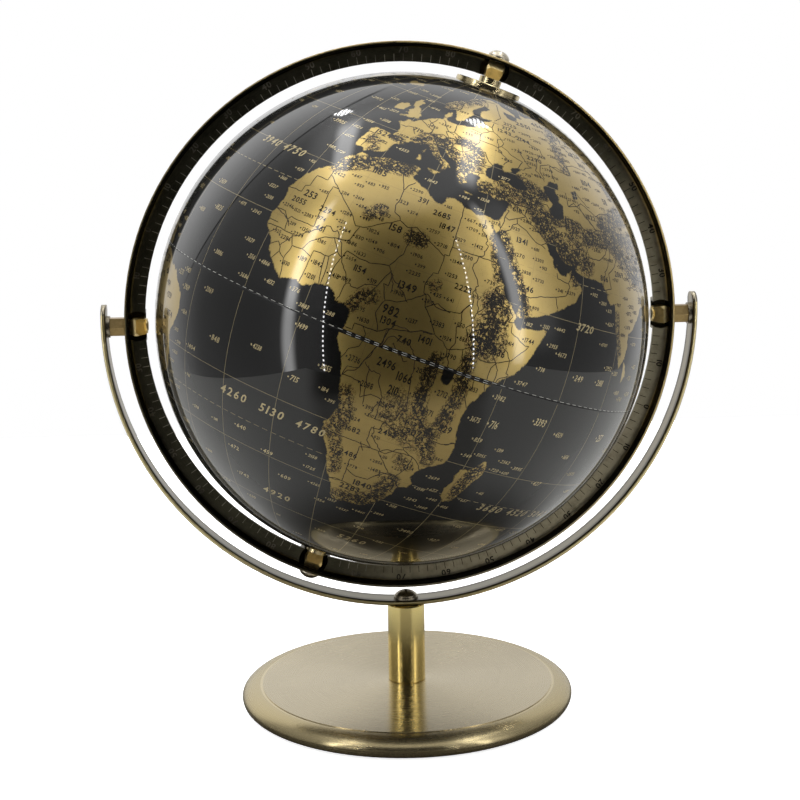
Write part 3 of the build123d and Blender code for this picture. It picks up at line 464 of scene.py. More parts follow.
RANGES = """
1.7 1:-9 30.5,-5 32.5,-2 33.5,3 35,8 35.8/1.3 0.8:5 22.5,7 24/1.5 0.9:16 21,18 21/2.6 1:38 14,
39 12,38.5 9.5,37 7,39.5 7/1.4 0.8:36 3,36 0,36.5 -3,35.5 -8/1.3 0.9:29.5 1,29 -3,29.5 -6,31 -9/
1.2 0.8:9.5 5,10.5 6.5,13 7.5/1 0.7:24 13,24.5 13.5/1.8 0.7:14.5 -9,15.5 -13,14 -17/
1.3 0.7:15 -18,16.5 -22,17 -26/1.6 0.9:20 -33,26 -32,29 -30,29.5 -27,31 -24/1.2 0.6:30 -18,
32.7 -19/1.5 0.8:34 -10,35 -14,36 -16/3 0.5:25 -8,28 -11,32 -12/1.3 0.8:46.8 -23,47 -19,48.5 -15/
1 0.8:34 27,35.5 23,37 19/1.3 1:36 28,39 23,42 19,43.7 15.5,45 14/1 0.9:56.5 25.5,57.5 23.3/
2 1:44.5 37,46.5 34.5,49.5 32,52.5 29.5,56 27.5/1.2 0.9:48.5 37,51.5 36,55 37,59 36.5/
2.2 0.8:57 33,58 30,61 28/2 1:29 37.5,32.5 37,36 38,40 39.5,43.5 39/0.8 0.8:32 41,37 40.7,41 40.8/
1.3 1:39 44,43 43,47 42/1.6 0.9:14 45.5,17 44,19.5 42.5,21.5 41,22 38.5/1.2 0.9:17.5 49,22 49,
25 47,25.5 45.5,22.5 45/0.9 0.7:23 42.7,26 42.7/1.4 1:6.5 44.3,7.5 46,10.5 46.8,14 47/
0.8 0.8:8.5 44.4,12 43,14.5 41.5,16 39/0.8 0.9:-1.5 43,2 42.5/1.3 0.7:-6 40.3,-3.5 37.2/
1.6 0.8:7 60,10 62,14 66,18 68.5/1.3 0.8:59 52,59 57,59.5 62,65 67/2 1:62 34.5,67 35,71 36,74 36/
2.2 1:71 39,75 40.5,80 42,86 43.5/2.2 1:74 35,79 31.5,85 28.5,92 28,96 29/2.2 0.9:76 37,84 36.5,
92 36,98 38/2.6 0.7:82 33,90 32,96 32/1.8 0.9:84 50,90 48.5,96 47/1.8 0.7:92 53,100 52,108 54/
0.9 0.7:73.7 19,74.5 15,76.5 11/2.6 0.9:-147 63,-135 60,-125 54,-117 50,-112 45,-107 40,-106 35/
1.6 0.8:-108 29,-104 24,-100 19,-92 16/1.2 0.7:-84 35,-79 38.5,-72 44/2 1:-74 10,-76 4,-78 -2,
-77 -9,-71 -15,-68 -20,-69 -27,-70 -34,-72 -42,-73 -49/1.6 0.6:-48 -25,-44 -21,-42 -16/
1.4 0.6:145 -17,149 -24,152 -30,148 -36/1 0.8:137 36,141 39.5/2.6 0.7:125 64,140 66,150 62
"""
DEPTHS = (
    (-12.0, -18.5, 3.6, "4260"), (-1.0, -18.5, 3.6, "5130"), (9.0, -18.5, 3.2, "4780"),
    (-34.0, 29.5, 3.4, "3940"), (-24.0, 29.5, 3.4, "4750"), (59.0, -24.5, 3.4, "3680"),
    (69.0, -24.5, 3.4, "4520"), (79.0, -24.5, 3.4, "5040"), (62.0, 14.5, 3.0, "3720"),
    (-150.0, 10.0, 3.6, "5210"), (-140.0, 10.0, 3.6, "4930"), (-130.0, 10.0, 3.6, "4410"),
    (-120.0, -25.0, 3.6, "3870"), (-110.0, -25.0, 3.6, "3310"), (165.0, 15.0, 3.6, "5480"),
    (2.0, -41.0, 3.4, "4920"), (30.0, -48.0, 3.4, "5260"), (95.0, -35.0, 3.4, "4170"),
)


# ---------------------------------------------------------------- metals
def metal(name, base, rough, grain, grain_depth, mottle, spread=0.10, anisotropy=0.0,
          uneven=1.0, edge=None, profile=None):
    """Metal with a brushed grain, uneven lacquer and fine wear.

    spread is how far the colour varies, mottle how many stains there are to a metre, and uneven
    how far the roughness varies; grain(w) gives the coordinates of the brushing; edge(w) gives
    where the colour differs, from the metal itself or from painted light and shade, as pairs of
    a mask and the colour that shows there; profile(w) is the height of a rolled edge.
    """
    made, w = material(name)
    lines = w.noise(grain(w), 1.0, 3.0, 0.6)
    stain = w.noise(object_coordinates(w), mottle, 4.0, 0.6)
    speck = w.noise(object_coordinates(w), mottle * 18, 2.0, 0.5)
    dark = tuple(c * (1 - 2.2 * spread) for c in base)
    tone = w.mix(w.step(stain, 0.3, 0.7), dark, base)
    tone = w.mix(w.math("MULTIPLY", w.step(lines, 0.35, 0.65), 0.45), tone,
                 tuple(min(1.0, c * (1 + 1.5 * spread)) for c in base))
    if edge:
        for where, other in edge(w):
            tone = w.mix(where, tone, other)
    roughness = w.math("ADD", w.math("MULTIPLY", lines, 0.16), w.math("MULTIPLY", speck, 0.06))
    roughness = w.math("ADD", roughness, w.math("MULTIPLY", stain, 0.05))
    middle, lift = 0.135, 0.055
    swing = w.math("MULTIPLY", w.math("SUBTRACT", roughness, middle), uneven)
    roughness = w.math("ADD", swing, rough + lift)
    body = w.shader("ShaderNodeBsdfPrincipled", Base_Color=tone, Metallic=1.0, Roughness=roughness,
                    Anisotropic=anisotropy, Anisotropic_Rotation=0.25)
    shape = w.node("ShaderNodeBump")
    w.feed(shape.inputs["Strength"], grain_depth)
    w.feed(shape.inputs["Distance"], 0.02 * MM)
    w.feed(shape.inputs["Height"], lines)
    if profile:
        w.feed(shape.inputs["Normal"], w.bump(profile(w), 1.0, 1.0))
    w.feed(body.inputs["Normal"], shape.outputs[0])
    if anisotropy:
        tangent = w.node("ShaderNodeTangent", direction_type="RADIAL", axis="Z")
        w.feed(body.inputs["Tangent"], tangent.outputs[0])
    w.surface(body.outputs[0])
    return made


def turned_grain(place, axes, across=7000.0, along=2.0):
    """Brushing that runs round an axis: fine across the radius and height, long round it."""
    def coordinates(w):
        radius, angle, height = round_coordinates(w, place, axes)
        return w.joined(w.math("MULTIPLY", radius, across), w.math("MULTIPLY", angle, along),
                        w.math("MULTIPLY", height, across))
    return coordinates


def rolled_grain(place, across=5000.0, along=40.0):
    """Brushing along a strip bent round Y: fine across its width, long along its length."""
    def coordinates(w):
        radius, angle, height = round_coordinates(w, place, (0, 2, 1))
        return w.joined(w.math("MULTIPLY", radius, across), w.math("MULTIPLY", angle, along),
                        w.math("MULTIPLY", height, across))
    return coordinates


def cast_grain(scale):
    """No direction: fine grain of a machined or plated face."""
    return lambda w: w.stretched(object_coordinates(w), (scale,) * 3)


def low_right(w, angle):
    """1 low on the right of the ring, falling to 0 on the left: where light is painted on the ring
    and shade on its marks.
    """
    return w.step(w.math("COSINE", w.math("ADD", angle, math.radians(30))), 0.2, 0.8)


def rolled_rim(w):
    """The flange's rims are rolled round."""
    radius, _, height = round_coordinates(w, CENTER, (0, 2, 1))
    away = w.math("SUBTRACT", radius, RING_OUTER - RING_FLANGE / 2)
    curve = w.math("DIVIDE", w.math("MULTIPLY", away, away), -2.1 * MM)
    return w.math("MULTIPLY", curve, w.step(w.math("ABSOLUTE", height), 1.5 * MM, 4.5 * MM))


def rolled_strip(w):
    """The fork's strip has rounded edges."""
    radius, _, _ = round_coordinates(w, FORK_CENTER, (0, 2, 1))
    away = w.math("SUBTRACT", radius, FORK_OUTER - 1 * MM)
    return w.math("DIVIDE", w.math("MULTIPLY", away, away), -2.3 * MM)


def worn_rim(bright, pale):
    """The ring shows its metal along the outer edge; painted light makes its bronze paler low on
    one side, and painted shade darkens the root of the flange.
    """
    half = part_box("meridian_ring")[1].y
    root = RING_OUTER - RING_FLANGE

    def where(w):
        radius, angle, height = round_coordinates(w, CENTER, (0, 2, 1))
        side = w.math("ABSOLUTE", height)
        corner = w.math("MULTIPLY", w.step(side, half - 0.45 * MM, half - 0.3 * MM),
                        w.step(radius, RING_OUTER - 0.55 * MM, RING_OUTER - 0.35 * MM))
        handled = w.math("COSINE", w.math("SUBTRACT", angle, math.radians(25)))
        wide = w.math("MULTIPLY", w.step(radius, RING_OUTER - 1.0 * MM, RING_OUTER - 0.7 * MM),
                      w.math("MULTIPLY", w.step(side, half - 0.2 * MM, half - 0.05 * MM),
                             w.step(handled, 0.1, 0.7)))
        scratched = w.step(w.noise(object_coordinates(w), 260.0, 3.0, 0.6), 0.12, 0.5)
        patchy = w.math("ADD", 0.35, w.math("MULTIPLY", w.step(handled, -0.6, 0.5), 0.65))
        corner = w.math("MULTIPLY", corner, patchy)
        # Painted shade: a near-black band along the root of the flange, where the web meets it.
        root_shade = w.math("MULTIPLY", w.band(radius, root, 0.45 * MM, 0.35 * MM), 0.9)
        cloud = w.noise(object_coordinates(w), 220.0, 4.0, 0.68)
        cloud = w.math("ADD", 0.1, w.math("MULTIPLY", cloud, 1.7))
        # Painted light: the bronze turns paler low on the right of the ring.
        return [(w.math("MULTIPLY", low_right(w, angle), cloud, clamp=True), pale),
                (root_shade, (0.010, 0.009, 0.007)),
                (w.math("MULTIPLY", w.math("MAXIMUM", corner, wide), scratched), bright)]
    return where


def strip_edges(bright, dull):
    """The fork's edges, cut by a saw, are yellow brass with a painted highlight; painted shade
    darkens the inner face beside them and the strip low down.
    """
    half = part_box("fork")[1].y
    inside = FORK_OUTER - 2 * MM

    def where(w):
        radius, angle, height = round_coordinates(w, FORK_CENTER, (0, 2, 1))
        side = w.math("ABSOLUTE", height)
        # Painted shade low on the fork, under the ball.
        low = w.step(w.math("COSINE", w.math("ADD", angle, math.pi / 2)), 0.25, 0.92)
        # The edges: yellow brass with a painted highlight.
        sawn = w.step(side, half - 0.25 * MM, half - 0.1 * MM)
        # Painted shade: a dark band on the inner face beside each edge.
        beside = w.step(side, half - 3.2 * MM, half - 1.3 * MM)
        hollow = w.step(radius, inside + 0.40 * MM, inside + 0.70 * MM)
        shade = w.math("MULTIPLY", beside, w.math("SUBTRACT", 1.0, hollow))
        return [(w.math("MULTIPLY", low, 0.85), dull), (sawn, bright),
                (w.math("MULTIPLY", shade, 0.8), (0.045, 0.036, 0.024))]
    return where


def burnished_rim(rim):
    """The base is yellower on its rim, and carries a painted highlight along the crease where the
    flat top ends.
    """
    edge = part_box("base_cover")[1].x

    def where(w):
        radius, _, _ = round_coordinates(w, Vector((0, 0, 0)), (0, 1, 2))
        outer = w.step(radius, edge - BASE_RIM - 0.5 * MM, edge - BASE_RIM + 2.0 * MM)
        # Painted highlight along the crease.
        crease = w.band(radius, edge - BASE_RIM + 0.45 * MM, 0.35 * MM, 0.35 * MM)
        return [(w.math("MULTIPLY", outer, 0.85), rim),
                (w.math("MULTIPLY", crease, 0.3), (0.80, 0.69, 0.44))]
    return where


def plain_material(name, tone, rough, scale, depth, sheen=0.0):
    """Felt, moulded plastic or paint: uneven tone and a fine bumpy skin."""
    made, w = material(name)
    patch = w.noise(object_coordinates(w), scale * 0.08, 3.0, 0.6)
    skin = w.noise(object_coordinates(w), scale, 3.0, 0.6)
    shade = w.mix(w.step(patch, 0.3, 0.7), tuple(c * 0.75 for c in tone), tone)
    body = w.shader("ShaderNodeBsdfPrincipled", Base_Color=shade,
                    Roughness=w.math("ADD", w.math("MULTIPLY", skin, 0.2), rough - 0.1),
                    Sheen_Weight=sheen, Normal=w.bump(skin, depth, 0.05 * MM))
    w.surface(body.outputs[0])
    return made


def cover(nodes, finish):
    """Gives packed pieces their finish."""
    for node in nodes:
        piece = PARTS[node]
        piece.data.materials.clear()
        piece.data.materials.append(finish)


class GLOBE_OT_metals(bpy.types.Operator):
    """Finish every packed metal, felt and plastic piece"""
    bl_idname = "globe.metals"
    bl_label = "Metals and hidden pieces"

    def execute(self, context):
        tones = context.scene.globe_metal
        foot = Vector((0, 0, 0))
        sides = ("left", "right")
        poles = ("north", "south")
        every = ("north", "south", "left", "right")
        cover(["base_cover"], metal(
            "circular_brushed_brass", tones.champagne, 0.215, turned_grain(foot, (0, 1, 2), 5000.0),
            0.10, spread=0.08, uneven=0.35, anisotropy=0.88, mottle=14.0,
            edge=burnished_rim(tones.rim)))
        cover(["post"], metal(
            "turned_brass", tones.brass, 0.13, turned_grain(foot, (0, 1, 2), along=6.0), 0.10,
            spread=0.05, mottle=40.0))
        cover(["fork"], metal(
            "satin_strip_brass", tones.strip, 0.26, rolled_grain(CENTER), 0.10,
            spread=0.06, mottle=50.0, edge=strip_edges(tones.sawn, tones.dulled),
            profile=rolled_strip))
        cover(["meridian_ring"], metal(
            "blackened_bronze", tones.bronze, 0.34, rolled_grain(CENTER, 2500.0, 60.0), 0.12,
            spread=0.18, mottle=90.0, edge=worn_rim(tones.edge, tones.patina),
            profile=rolled_rim))
        cover(["ring_block_" + place for place in every],
              metal("machined_brass", tones.machined, 0.29, cast_grain(700.0), 0.04,
                    mottle=300.0, uneven=0.4))
        cover(["hex_spacer_" + side for side in sides],
              metal("tarnished_brass", tones.tarnished, 0.27, cast_grain(900.0), 0.12,
                    mottle=350.0))
        cover(["fork_screw", "fork_washer"] + ["pivot_washer_" + side for side in sides],
              metal("dark_plated_steel", tones.darkened, 0.24, cast_grain(1200.0), 0.15,
                    spread=0.12, mottle=300.0))
        cover(["pivot_screw_" + side for side in sides] + ["axle_screw_" + pole for pole in poles],
              metal("satin_nickel", tones.nickel, 0.26, cast_grain(1200.0), 0.10, mottle=300.0))
        cover(["axle_sleeve_" + pole for pole in poles] + ["hour_disc", "south_collar"],
              metal("polished_brass", tones.polished, 0.16, cast_grain(1500.0), 0.05,
                    spread=0.04, mottle=200.0))
        cover(["base_bolt", "base_washer"], metal(
            "zinc_plated_steel", (0.58, 0.57, 0.52), 0.32, cast_grain(900.0), 0.15, mottle=250.0))
        cover(["base_weight"], plain_material("black_painted_iron", (0.022, 0.022, 0.023), 0.55,
                                              900.0, 0.6))
        cover(["base_pad"], plain_material("black_felt", (0.016, 0.016, 0.017), 0.95, 4000.0, 0.9,
                                           sheen=0.4))
        cover(["equator_band"],
              plain_material("grey_moulding", (0.24, 0.24, 0.23), 0.5, 1500.0, 0.2))
        cover(["polar_bush_" + pole for pole in poles],
              plain_material("white_moulding", (0.74, 0.73, 0.70), 0.42, 1500.0, 0.15))
        return {"FINISHED"}


def rings(text):
    """Lists of (longitude, latitude) from a text of outlines."""
    return [[tuple(float(number) for number in point.split())
             for point in part.split(",") if point.strip()]
            for part in text.replace("\n", "").split("/")]


def ranges(text):
    """(half width in degrees, strength, line) of each mountain range."""
    found = []
    for part in text.replace("\n", "").split("/"):
        head, line = part.split(":")
        width, strength = (float(number) for number in head.split())
        found.append((width, strength, rings(line)[0]))
    return found


# ---------------------------------------------------------------- the printed map on the ball
DEGREE = math.pi * BALL_RADIUS / 180
PRINT_TABLE = np.linspace(-90.0, 90.0, 721)
TROPIC, GRID_STEP = 23.4, 15.0


def print_shift(latitude):
    """How far the print lies from its true latitude: the gores were laid a little askew."""
    def eased(share):
        share = np.clip(share, 0, 1)
        return share ** 2 * (3 - 2 * share)

    north = 2.0 * eased(latitude / 12.0)
    north = np.where(latitude > 30, np.interp(latitude, (30, 45, 90), (2.0, 1.0, 0.0)), north)
    south = -4.0 * eased(-latitude / 10.0)
    south = np.where(latitude < -60, np.interp(latitude, (-90, -60), (0.0, -4.0)), south)
    return np.where(latitude > 0, north, south)


SURFACE_TABLE = PRINT_TABLE + print_shift(PRINT_TABLE)


def unit(longitude, latitude):
    """Unit vectors of points on a sphere, from degrees."""
    longitude, latitude = np.radians(longitude), np.radians(latitude)
    return np.stack((np.cos(latitude) * np.cos(longitude), np.cos(latitude) * np.sin(longitude),
                     np.sin(latitude)), axis=-1)


def on_ball(longitude, latitude, radius, turn):
    """Points of the part's frame where the print shows a longitude and latitude."""
    spots = unit(longitude, np.interp(latitude, PRINT_TABLE, SURFACE_TABLE)) * radius
    return spots @ np.array(turn).T + np.array(CENTER)


def densified(line, step, closed=False):
    """Points along a line of degrees, no further apart than step."""
    points = list(line) + ([line[0]] if closed else [])
    out = []
    for (lon_a, lat_a), (lon_b, lat_b) in zip(points, points[1:]):
        count = max(1, math.ceil(math.hypot(lon_b - lon_a, lat_b - lat_a) / step))
        out += [(lon_a + (lon_b - lon_a) * i / count, lat_a + (lat_b - lat_a) * i / count)
                for i in range(count)]
    return out + [points[-1]]


def inside(longitude, latitude, ring):
    """Even-odd test of many points against one outline."""
    ring = np.array(ring)
    low, high = ring.min(axis=0), ring.max(axis=0)
    near = np.where((longitude > low[0]) & (longitude < high[0]) & (latitude > low[1])
                    & (latitude < high[1]))[0]
    x, y = longitude[near], latitude[near]
    odd = np.zeros(len(near), bool)
    for (xa, ya), (xb, yb) in zip(ring, np.roll(ring, -1, axis=0)):
        if ya == yb:
            continue
        crosses = ((ya > y) != (yb > y)) & (x < (xb - xa) * (y - ya) / (yb - ya) + xa)
        odd ^= crosses
    answer = np.zeros(len(longitude), bool)
    answer[near] = odd
    return answer


class Chart:
    """Where the land is, how far the coast is and where the mountains are."""

    def __init__(self):
        self.land, self.water = rings(LAND), rings(WATER)
        corners, faces = [], []
        for outline in self.land + self.water:
            points = densified(outline, 3.0, closed=True)
            middle = (np.array(points[:-1]) + np.array(points[1:])) / 2
            kept = (np.abs(middle[:, 0]) < 179.9) & (middle[:, 1] > -89.9)
            for other in self.land:
                if other is not outline and outline in self.land:
                    kept &= ~inside(middle[:, 0], middle[:, 1], other)
            for a, b in ((points[i], points[i + 1]) for i in np.where(kept)[0]):
                start, end = unit(*a), unit(*b)
                first = len(corners)
                corners += [start * 0.97, end * 0.97, end * 1.03, start * 1.03]
                faces.append((first, first + 1, first + 2, first + 3))
        self.fences = BVHTree.FromPolygons([Vector(c) for c in corners], faces)

    def coast(self, spots):
        """Distance from the coast in millimetres on the ball, positive on land."""
        longitude = np.degrees(np.arctan2(spots[:, 1], spots[:, 0]))
        latitude = np.degrees(np.arcsin(np.clip(spots[:, 2], -1, 1)))
        land = np.zeros(len(spots), bool)
        for outline in self.land:
            land |= inside(longitude, latitude, outline)
        for outline in self.water:
            land &= ~inside(longitude, latitude, outline)
        away = np.full(len(spots), 0.08)
        for i, spot in enumerate(spots):
            found = self.fences.find_nearest(spot, 0.08)
            if found[0] is not None:
                away[i] = found[3]
        return np.where(land, away, -away) * BALL_RADIUS / MM

    def relief(self, spots):
        """How mountainous each point is, from 0 to 1."""
        height = np.zeros(len(spots))
        for width, strength, line in ranges(RANGES):
            points = unit(*np.array(densified(line, 4.0)).T)
            reach = math.radians(width)
            for a, b in zip(points, points[1:]):
                along = b - a
                share = np.clip((spots - a) @ along / (along @ along), 0, 1)
                away = np.linalg.norm(spots - a - share[:, None] * along, axis=1)
                height = np.maximum(height, strength * np.clip(1.6 - away / reach, 0, 1))
        return height


def stitched(first, second):
    """Triangles between two closed rows of points, given as (first index, count)."""
    (a, n), (b, m) = first, second
    i = j = 0
    faces = []
    while i < n or j < m:
        if j >= m or (i < n and (i + 1) * m <= (j + 1) * n):
            faces.append((a + i, a + (i + 1) % n, b + j % m))
            i += 1
        else:
            faces.append((a + i % n, b + (j + 1) % m, b + j))
            j += 1
    return faces


INNER_ROWS = (84, 76, 68, 60, 51, 42, 34, 27, 21, 16, 12, 9, 7, 5.5, 4, 3, 2, 1, 0.0)


def half_ball(name, sign, settings, chart, turn):
    """Half of the printed ball as one closed shell, with the print's fields on its points."""
    outer, inner = BALL_RADIUS, BALL_RADIUS - settings.wall
    first_row = math.degrees((settings.seam_gap + settings.seam_bevel) / outer)
    last_row = 90 - math.degrees(math.asin(settings.pole_hole / outer))
    rows = [(math.radians(a), outer) for a in np.linspace(first_row, last_row, settings.grid_rows)]
    profile = [(outer - settings.seam_bevel, settings.seam_gap),
               (outer - settings.seam_bevel * 0.3, settings.seam_gap + settings.seam_bevel * 0.3)]
    profile += [(radius * math.cos(a), radius * math.sin(a)) for a, radius in rows]
    counts = [round(4 * settings.grid_rows * math.cos(math.atan2(h, r))) for r, h in profile]
    printed = len(profile)
    for a in (last_row, *INNER_ROWS):
        radius = settings.pole_hole if a == last_row else inner * math.cos(math.radians(a))
        height = inner * math.sin(math.radians(a))
        if a == last_row:
            height = math.sqrt(inner ** 2 - radius ** 2)
        profile.append((radius, max(height, settings.seam_gap)))
        counts.append(max(24, round(240 * radius / inner)))
    spots, faces, starts = [], [], []
    for (radius, height), count in zip(profile, counts):
        starts.append((sum(len(s) for s in spots), count))
        angle = np.arange(count) * 2 * math.pi / count
        spots.append(np.stack((radius * np.cos(angle), radius * np.sin(angle),
                               np.full(count, sign * height)), axis=-1))
    for low, high in zip(starts, starts[1:] + starts[:1]):
        faces += stitched(low, high)
    if sign < 0:
        faces = [face[::-1] for face in faces]
    spots = np.concatenate(spots)
    mesh = bpy.data.meshes.new(name)
    mesh.from_pydata((spots @ np.array(turn).T + np.array(CENTER)).tolist(), [], faces)
    mesh.shade_smooth()
    facing = spots / np.linalg.norm(spots, axis=1)[:, None]
    facing[starts[printed][0]:] *= -1
    facing[:starts[2][0]] = (facing[:starts[2][0]] - (0, 0, sign)) / math.sqrt(2)
    mesh.normals_split_custom_set_from_vertices(facing @ np.array(turn).T)

    shown = starts[printed - 1][0] + starts[printed - 1][1]
    away = spots / np.linalg.norm(spots, axis=1)[:, None]
    latitude = np.interp(np.degrees(np.arcsin(away[:, 2])), SURFACE_TABLE, PRINT_TABLE)
    earth = unit(np.degrees(np.arctan2(away[:, 1], away[:, 0])), latitude)
    coast, relief = np.zeros(len(spots)), np.zeros(len(spots))
    coast[:shown] = chart.coast(earth[:shown])
    relief[:shown] = chart.relief(earth[:shown])
    mesh.attributes.new("coast", "FLOAT", "POINT").data.foreach_set("value", coast)
    mesh.attributes.new("relief", "FLOAT", "POINT").data.foreach_set("value", relief)
    mesh.attributes.new("earth", "FLOAT_VECTOR", "POINT").data.foreach_set("vector", earth.ravel())
    return placed(mesh, name, "globe")


def facing_out(name, points, faces):
    """Flat print laid on the ball, shaded as round as the ball itself."""
    mesh = bpy.data.meshes.new(name)
    mesh.from_pydata(points.tolist(), [], faces)
    mesh.shade_smooth()
    away = points - np.array(CENTER)
    mesh.normals_split_custom_set_from_vertices(away / np.linalg.norm(away, axis=1)[:, None])
    return mesh


def placed(mesh, name, body):
    """Adds a mesh to the scene as a finished piece of a body."""
    piece = bpy.data.objects.new(name, mesh)
    bpy.context.scene.collection.objects.link(piece)
    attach(piece, body)
    return piece


def lacquer(w, tone, metallic, rough):
    """Print under a glossy lacquer."""
    body = w.shader("ShaderNodeBsdfPrincipled", Base_Color=tone, Metallic=metallic, Roughness=rough,
                    Specular_IOR_Level=0.08, Coat_Weight=1.0, Coat_Roughness=0.012, Coat_IOR=1.5)
    w.surface(body.outputs[0])


def map_print(settings):
    """Black seas, metallic land with hatched mountains, and a fine grid of degrees."""
    made, w = material("map_print")
    earth = w.attribute("earth", "Vector")
    wobble = w.math("SUBTRACT", w.noise(earth, 34.0, 4.0, 0.62), 0.5)
    finer = w.math("SUBTRACT", w.noise(earth, 150.0, 3.0, 0.6), 0.5)
    coast = w.math("ADD", w.attribute("coast"), w.math("MULTIPLY", wobble, 2.4))
    coast = w.math("ADD", coast, w.math("MULTIPLY", finer, 1.0))
    land = w.step(coast, -0.09, 0.09)
    shore = w.math("MULTIPLY", w.band(coast, 0.10, 0.07, 0.10), 0.55)

    x, y, z = w.split(earth)
    latitude = w.math("DEGREES", w.math("ARCSINE", z))
    longitude = w.math("DEGREES", w.math("ARCTAN2", y, x))
    shrink = w.math("SQRT", w.math("SUBTRACT", 1.0, w.math("MULTIPLY", z, z)))

    def line(value, every, scale):
        """1 on a thin line each so many degrees; scale is how much they narrow."""
        near = w.math("FRACT", w.math("ADD", w.math("DIVIDE", value, every), 0.5))
        near = w.math("SUBTRACT", near, 0.5)
        away = w.math("MULTIPLY", w.math("ABSOLUTE", near), every * DEGREE / MM)
        if scale:
            away = w.math("MULTIPLY", away, scale)
        return w.math("SUBTRACT", 1.0, w.step(away, 0.05, 0.15))

    tropic = w.math("SUBTRACT", w.math("ABSOLUTE", latitude), TROPIC)
    tropic = w.math("MULTIPLY", w.math("ABSOLUTE", tropic), DEGREE / MM)
    tropic = w.math("SUBTRACT", 1.0, w.step(tropic, 0.07, 0.17))
    dashes = w.step(w.math("SINE", w.math("MULTIPLY", longitude, 2.6)), -0.5, -0.3)
    grid = w.math("MAXIMUM", line(latitude, GRID_STEP, None), line(longitude, GRID_STEP, shrink))
    grid = w.math("MAXIMUM", grid, w.math("MULTIPLY", tropic, dashes))

    relief = w.attribute("relief")
    uneven = w.math("ADD", 0.35, w.math("MULTIPLY", w.noise(earth, 16.0, 3.0, 0.6), 1.3))
    height = w.math("MULTIPLY", relief, uneven)

    def strokes(scale, stretch, thin):
        """Thin winding strokes, 1 along their middles."""
        ripple = w.noise(w.stretched(earth, stretch), scale, 5.0, 0.68)
        away = w.math("ABSOLUTE", w.math("SUBTRACT", ripple, 0.5))
        return w.math("SUBTRACT", 1.0, w.math("MULTIPLY", away, thin))

    hatch = w.math("MAXIMUM", strokes(22.0, (1.0, 1.0, 1.9), 13.0),
                   strokes(44.0, (1.8, 1.0, 1.0), 9.0))
    hatch = w.math("ADD", w.math("MULTIPLY", hatch, 0.72), w.math("MULTIPLY", height, 0.42))
    hatch = w.math("MULTIPLY", w.step(hatch, 0.66, 0.84), w.step(relief, 0.05, 0.3))
    crest = w.math("MULTIPLY", w.step(w.noise(earth, 105.0, 3.0, 0.6), 0.52, 0.62),
                   w.step(height, 0.15, 0.5))
    specks = w.step(w.noise(earth, 230.0, 2.0, 0.6), 0.70, 0.76)

    patch = w.noise(earth, 6.0, 4.0, 0.6)
    grainy = w.noise(earth, 420.0, 2.0, 0.5)
    gold = w.mix(w.step(patch, 0.3, 0.7), tuple(c * 0.84 for c in settings.land),
                 tuple(settings.land))
    gold = w.mix(w.math("MULTIPLY", grainy, 0.25), gold, tuple(c * 0.5 for c in settings.land))
    gold = w.mix(w.math("MULTIPLY", crest, 0.6), gold, (0.26, 0.13, 0.045))
    gold = w.mix(w.math("MULTIPLY", specks, 0.5), gold, tuple(settings.ink))
    gold = w.mix(w.math("MULTIPLY", grid, 0.45), gold, (0.24, 0.17, 0.075))
    gold = w.mix(hatch, gold, tuple(settings.ink))
    gold = w.mix(shore, gold, tuple(settings.ink))
    sea = w.mix(w.math("MULTIPLY", grid, 0.85), tuple(settings.sea), (0.30, 0.245, 0.13))
    equator = w.math("SUBTRACT", 1.0, w.step(w.math("ABSOLUTE", latitude), 0.40, 0.50))
    tone = w.mix(land, sea, gold)
    tone = w.mix(equator, tone, tuple(settings.sea))
    metallic = w.math("MULTIPLY", land, w.math("SUBTRACT", 0.92, w.math("MULTIPLY", hatch, 0.8)))
    metallic = w.math("MULTIPLY", metallic, w.math("SUBTRACT", 1.0, equator))
    dull = w.math("ADD", w.math("MULTIPLY", grainy, 0.08), 0.25)
    lacquer(w, tone, metallic, dull)
    return made


def ink(name, tone, metallic, rough):
    """Plain printed ink, uneven, under the same lacquer."""
    made, w = material(name)
    patch = w.noise(object_coordinates(w), 1500.0, 2.0, 0.5)
    lacquer(w, w.mix(patch, tuple(c * 0.7 for c in tone), tuple(min(1.0, c * 1.15) for c in tone)),
            metallic, rough)
    return made


def drawn_lines(lines, width, sway, lift, turn):
    """Printed lines as ribbons just above the ball."""
    corners, faces = [], []
    for line in lines:
        points = np.array(densified(line, 0.35))
        swing = []
        for place in unit(*points.T):
            swing.append([noise.noise(Vector(place) * 45 + Vector((shift, 0, 0)))
                          for shift in (0, 7)])
        swing = np.array(swing) * sway / DEGREE
        swing[0] = swing[-1] = 0
        points = points + swing
        middle = on_ball(points[:, 0], points[:, 1], BALL_RADIUS + lift, turn)
        out = (middle - np.array(CENTER)) / (BALL_RADIUS + lift)
        along = np.gradient(middle, axis=0)
        across = np.cross(out, along)
        across /= np.linalg.norm(across, axis=1)[:, None]
        taper = np.ones(len(middle))
        taper[0] = taper[-1] = 0.6
        first = len(corners)
        for side in (1, -1):
            corners += list(middle + across * (side * width / 2 * taper)[:, None])
        count = len(middle)
        faces += [(first + i, first + count + i, first + count + i + 1, first + i + 1)
                  for i in range(count - 1)]
    return corners, faces


def glyphs():
    """Flat outline of each figure from 0 to 9, one unit high: points, faces and width."""
    shapes = {}
    for figure in "0123456789":
        curve = bpy.data.curves.new("figure", "FONT")
        curve.body = figure
        curve.size = 1.4
        curve.resolution_u = 2
        curve.offset = 0.028
        text = bpy.data.objects.new("figure", curve)
        mesh = bpy.data.meshes.new_from_object(text)
        points = np.array([vertex.co[:] for vertex in mesh.vertices])
        width = points[:, 0].max() - points[:, 0].min()
        points[:, 0] -= points[:, 0].min()
        points[:, 1] -= points[:, 1].min()
        points[:, :2] /= np.array((1.0, points[:, 1].max()))
        shapes[figure] = (points[:, :2], [tuple(face.vertices) for face in mesh.polygons], width)
        bpy.data.objects.remove(text)
        bpy.data.meshes.remove(mesh)
        bpy.data.curves.remove(curve)
    return shapes


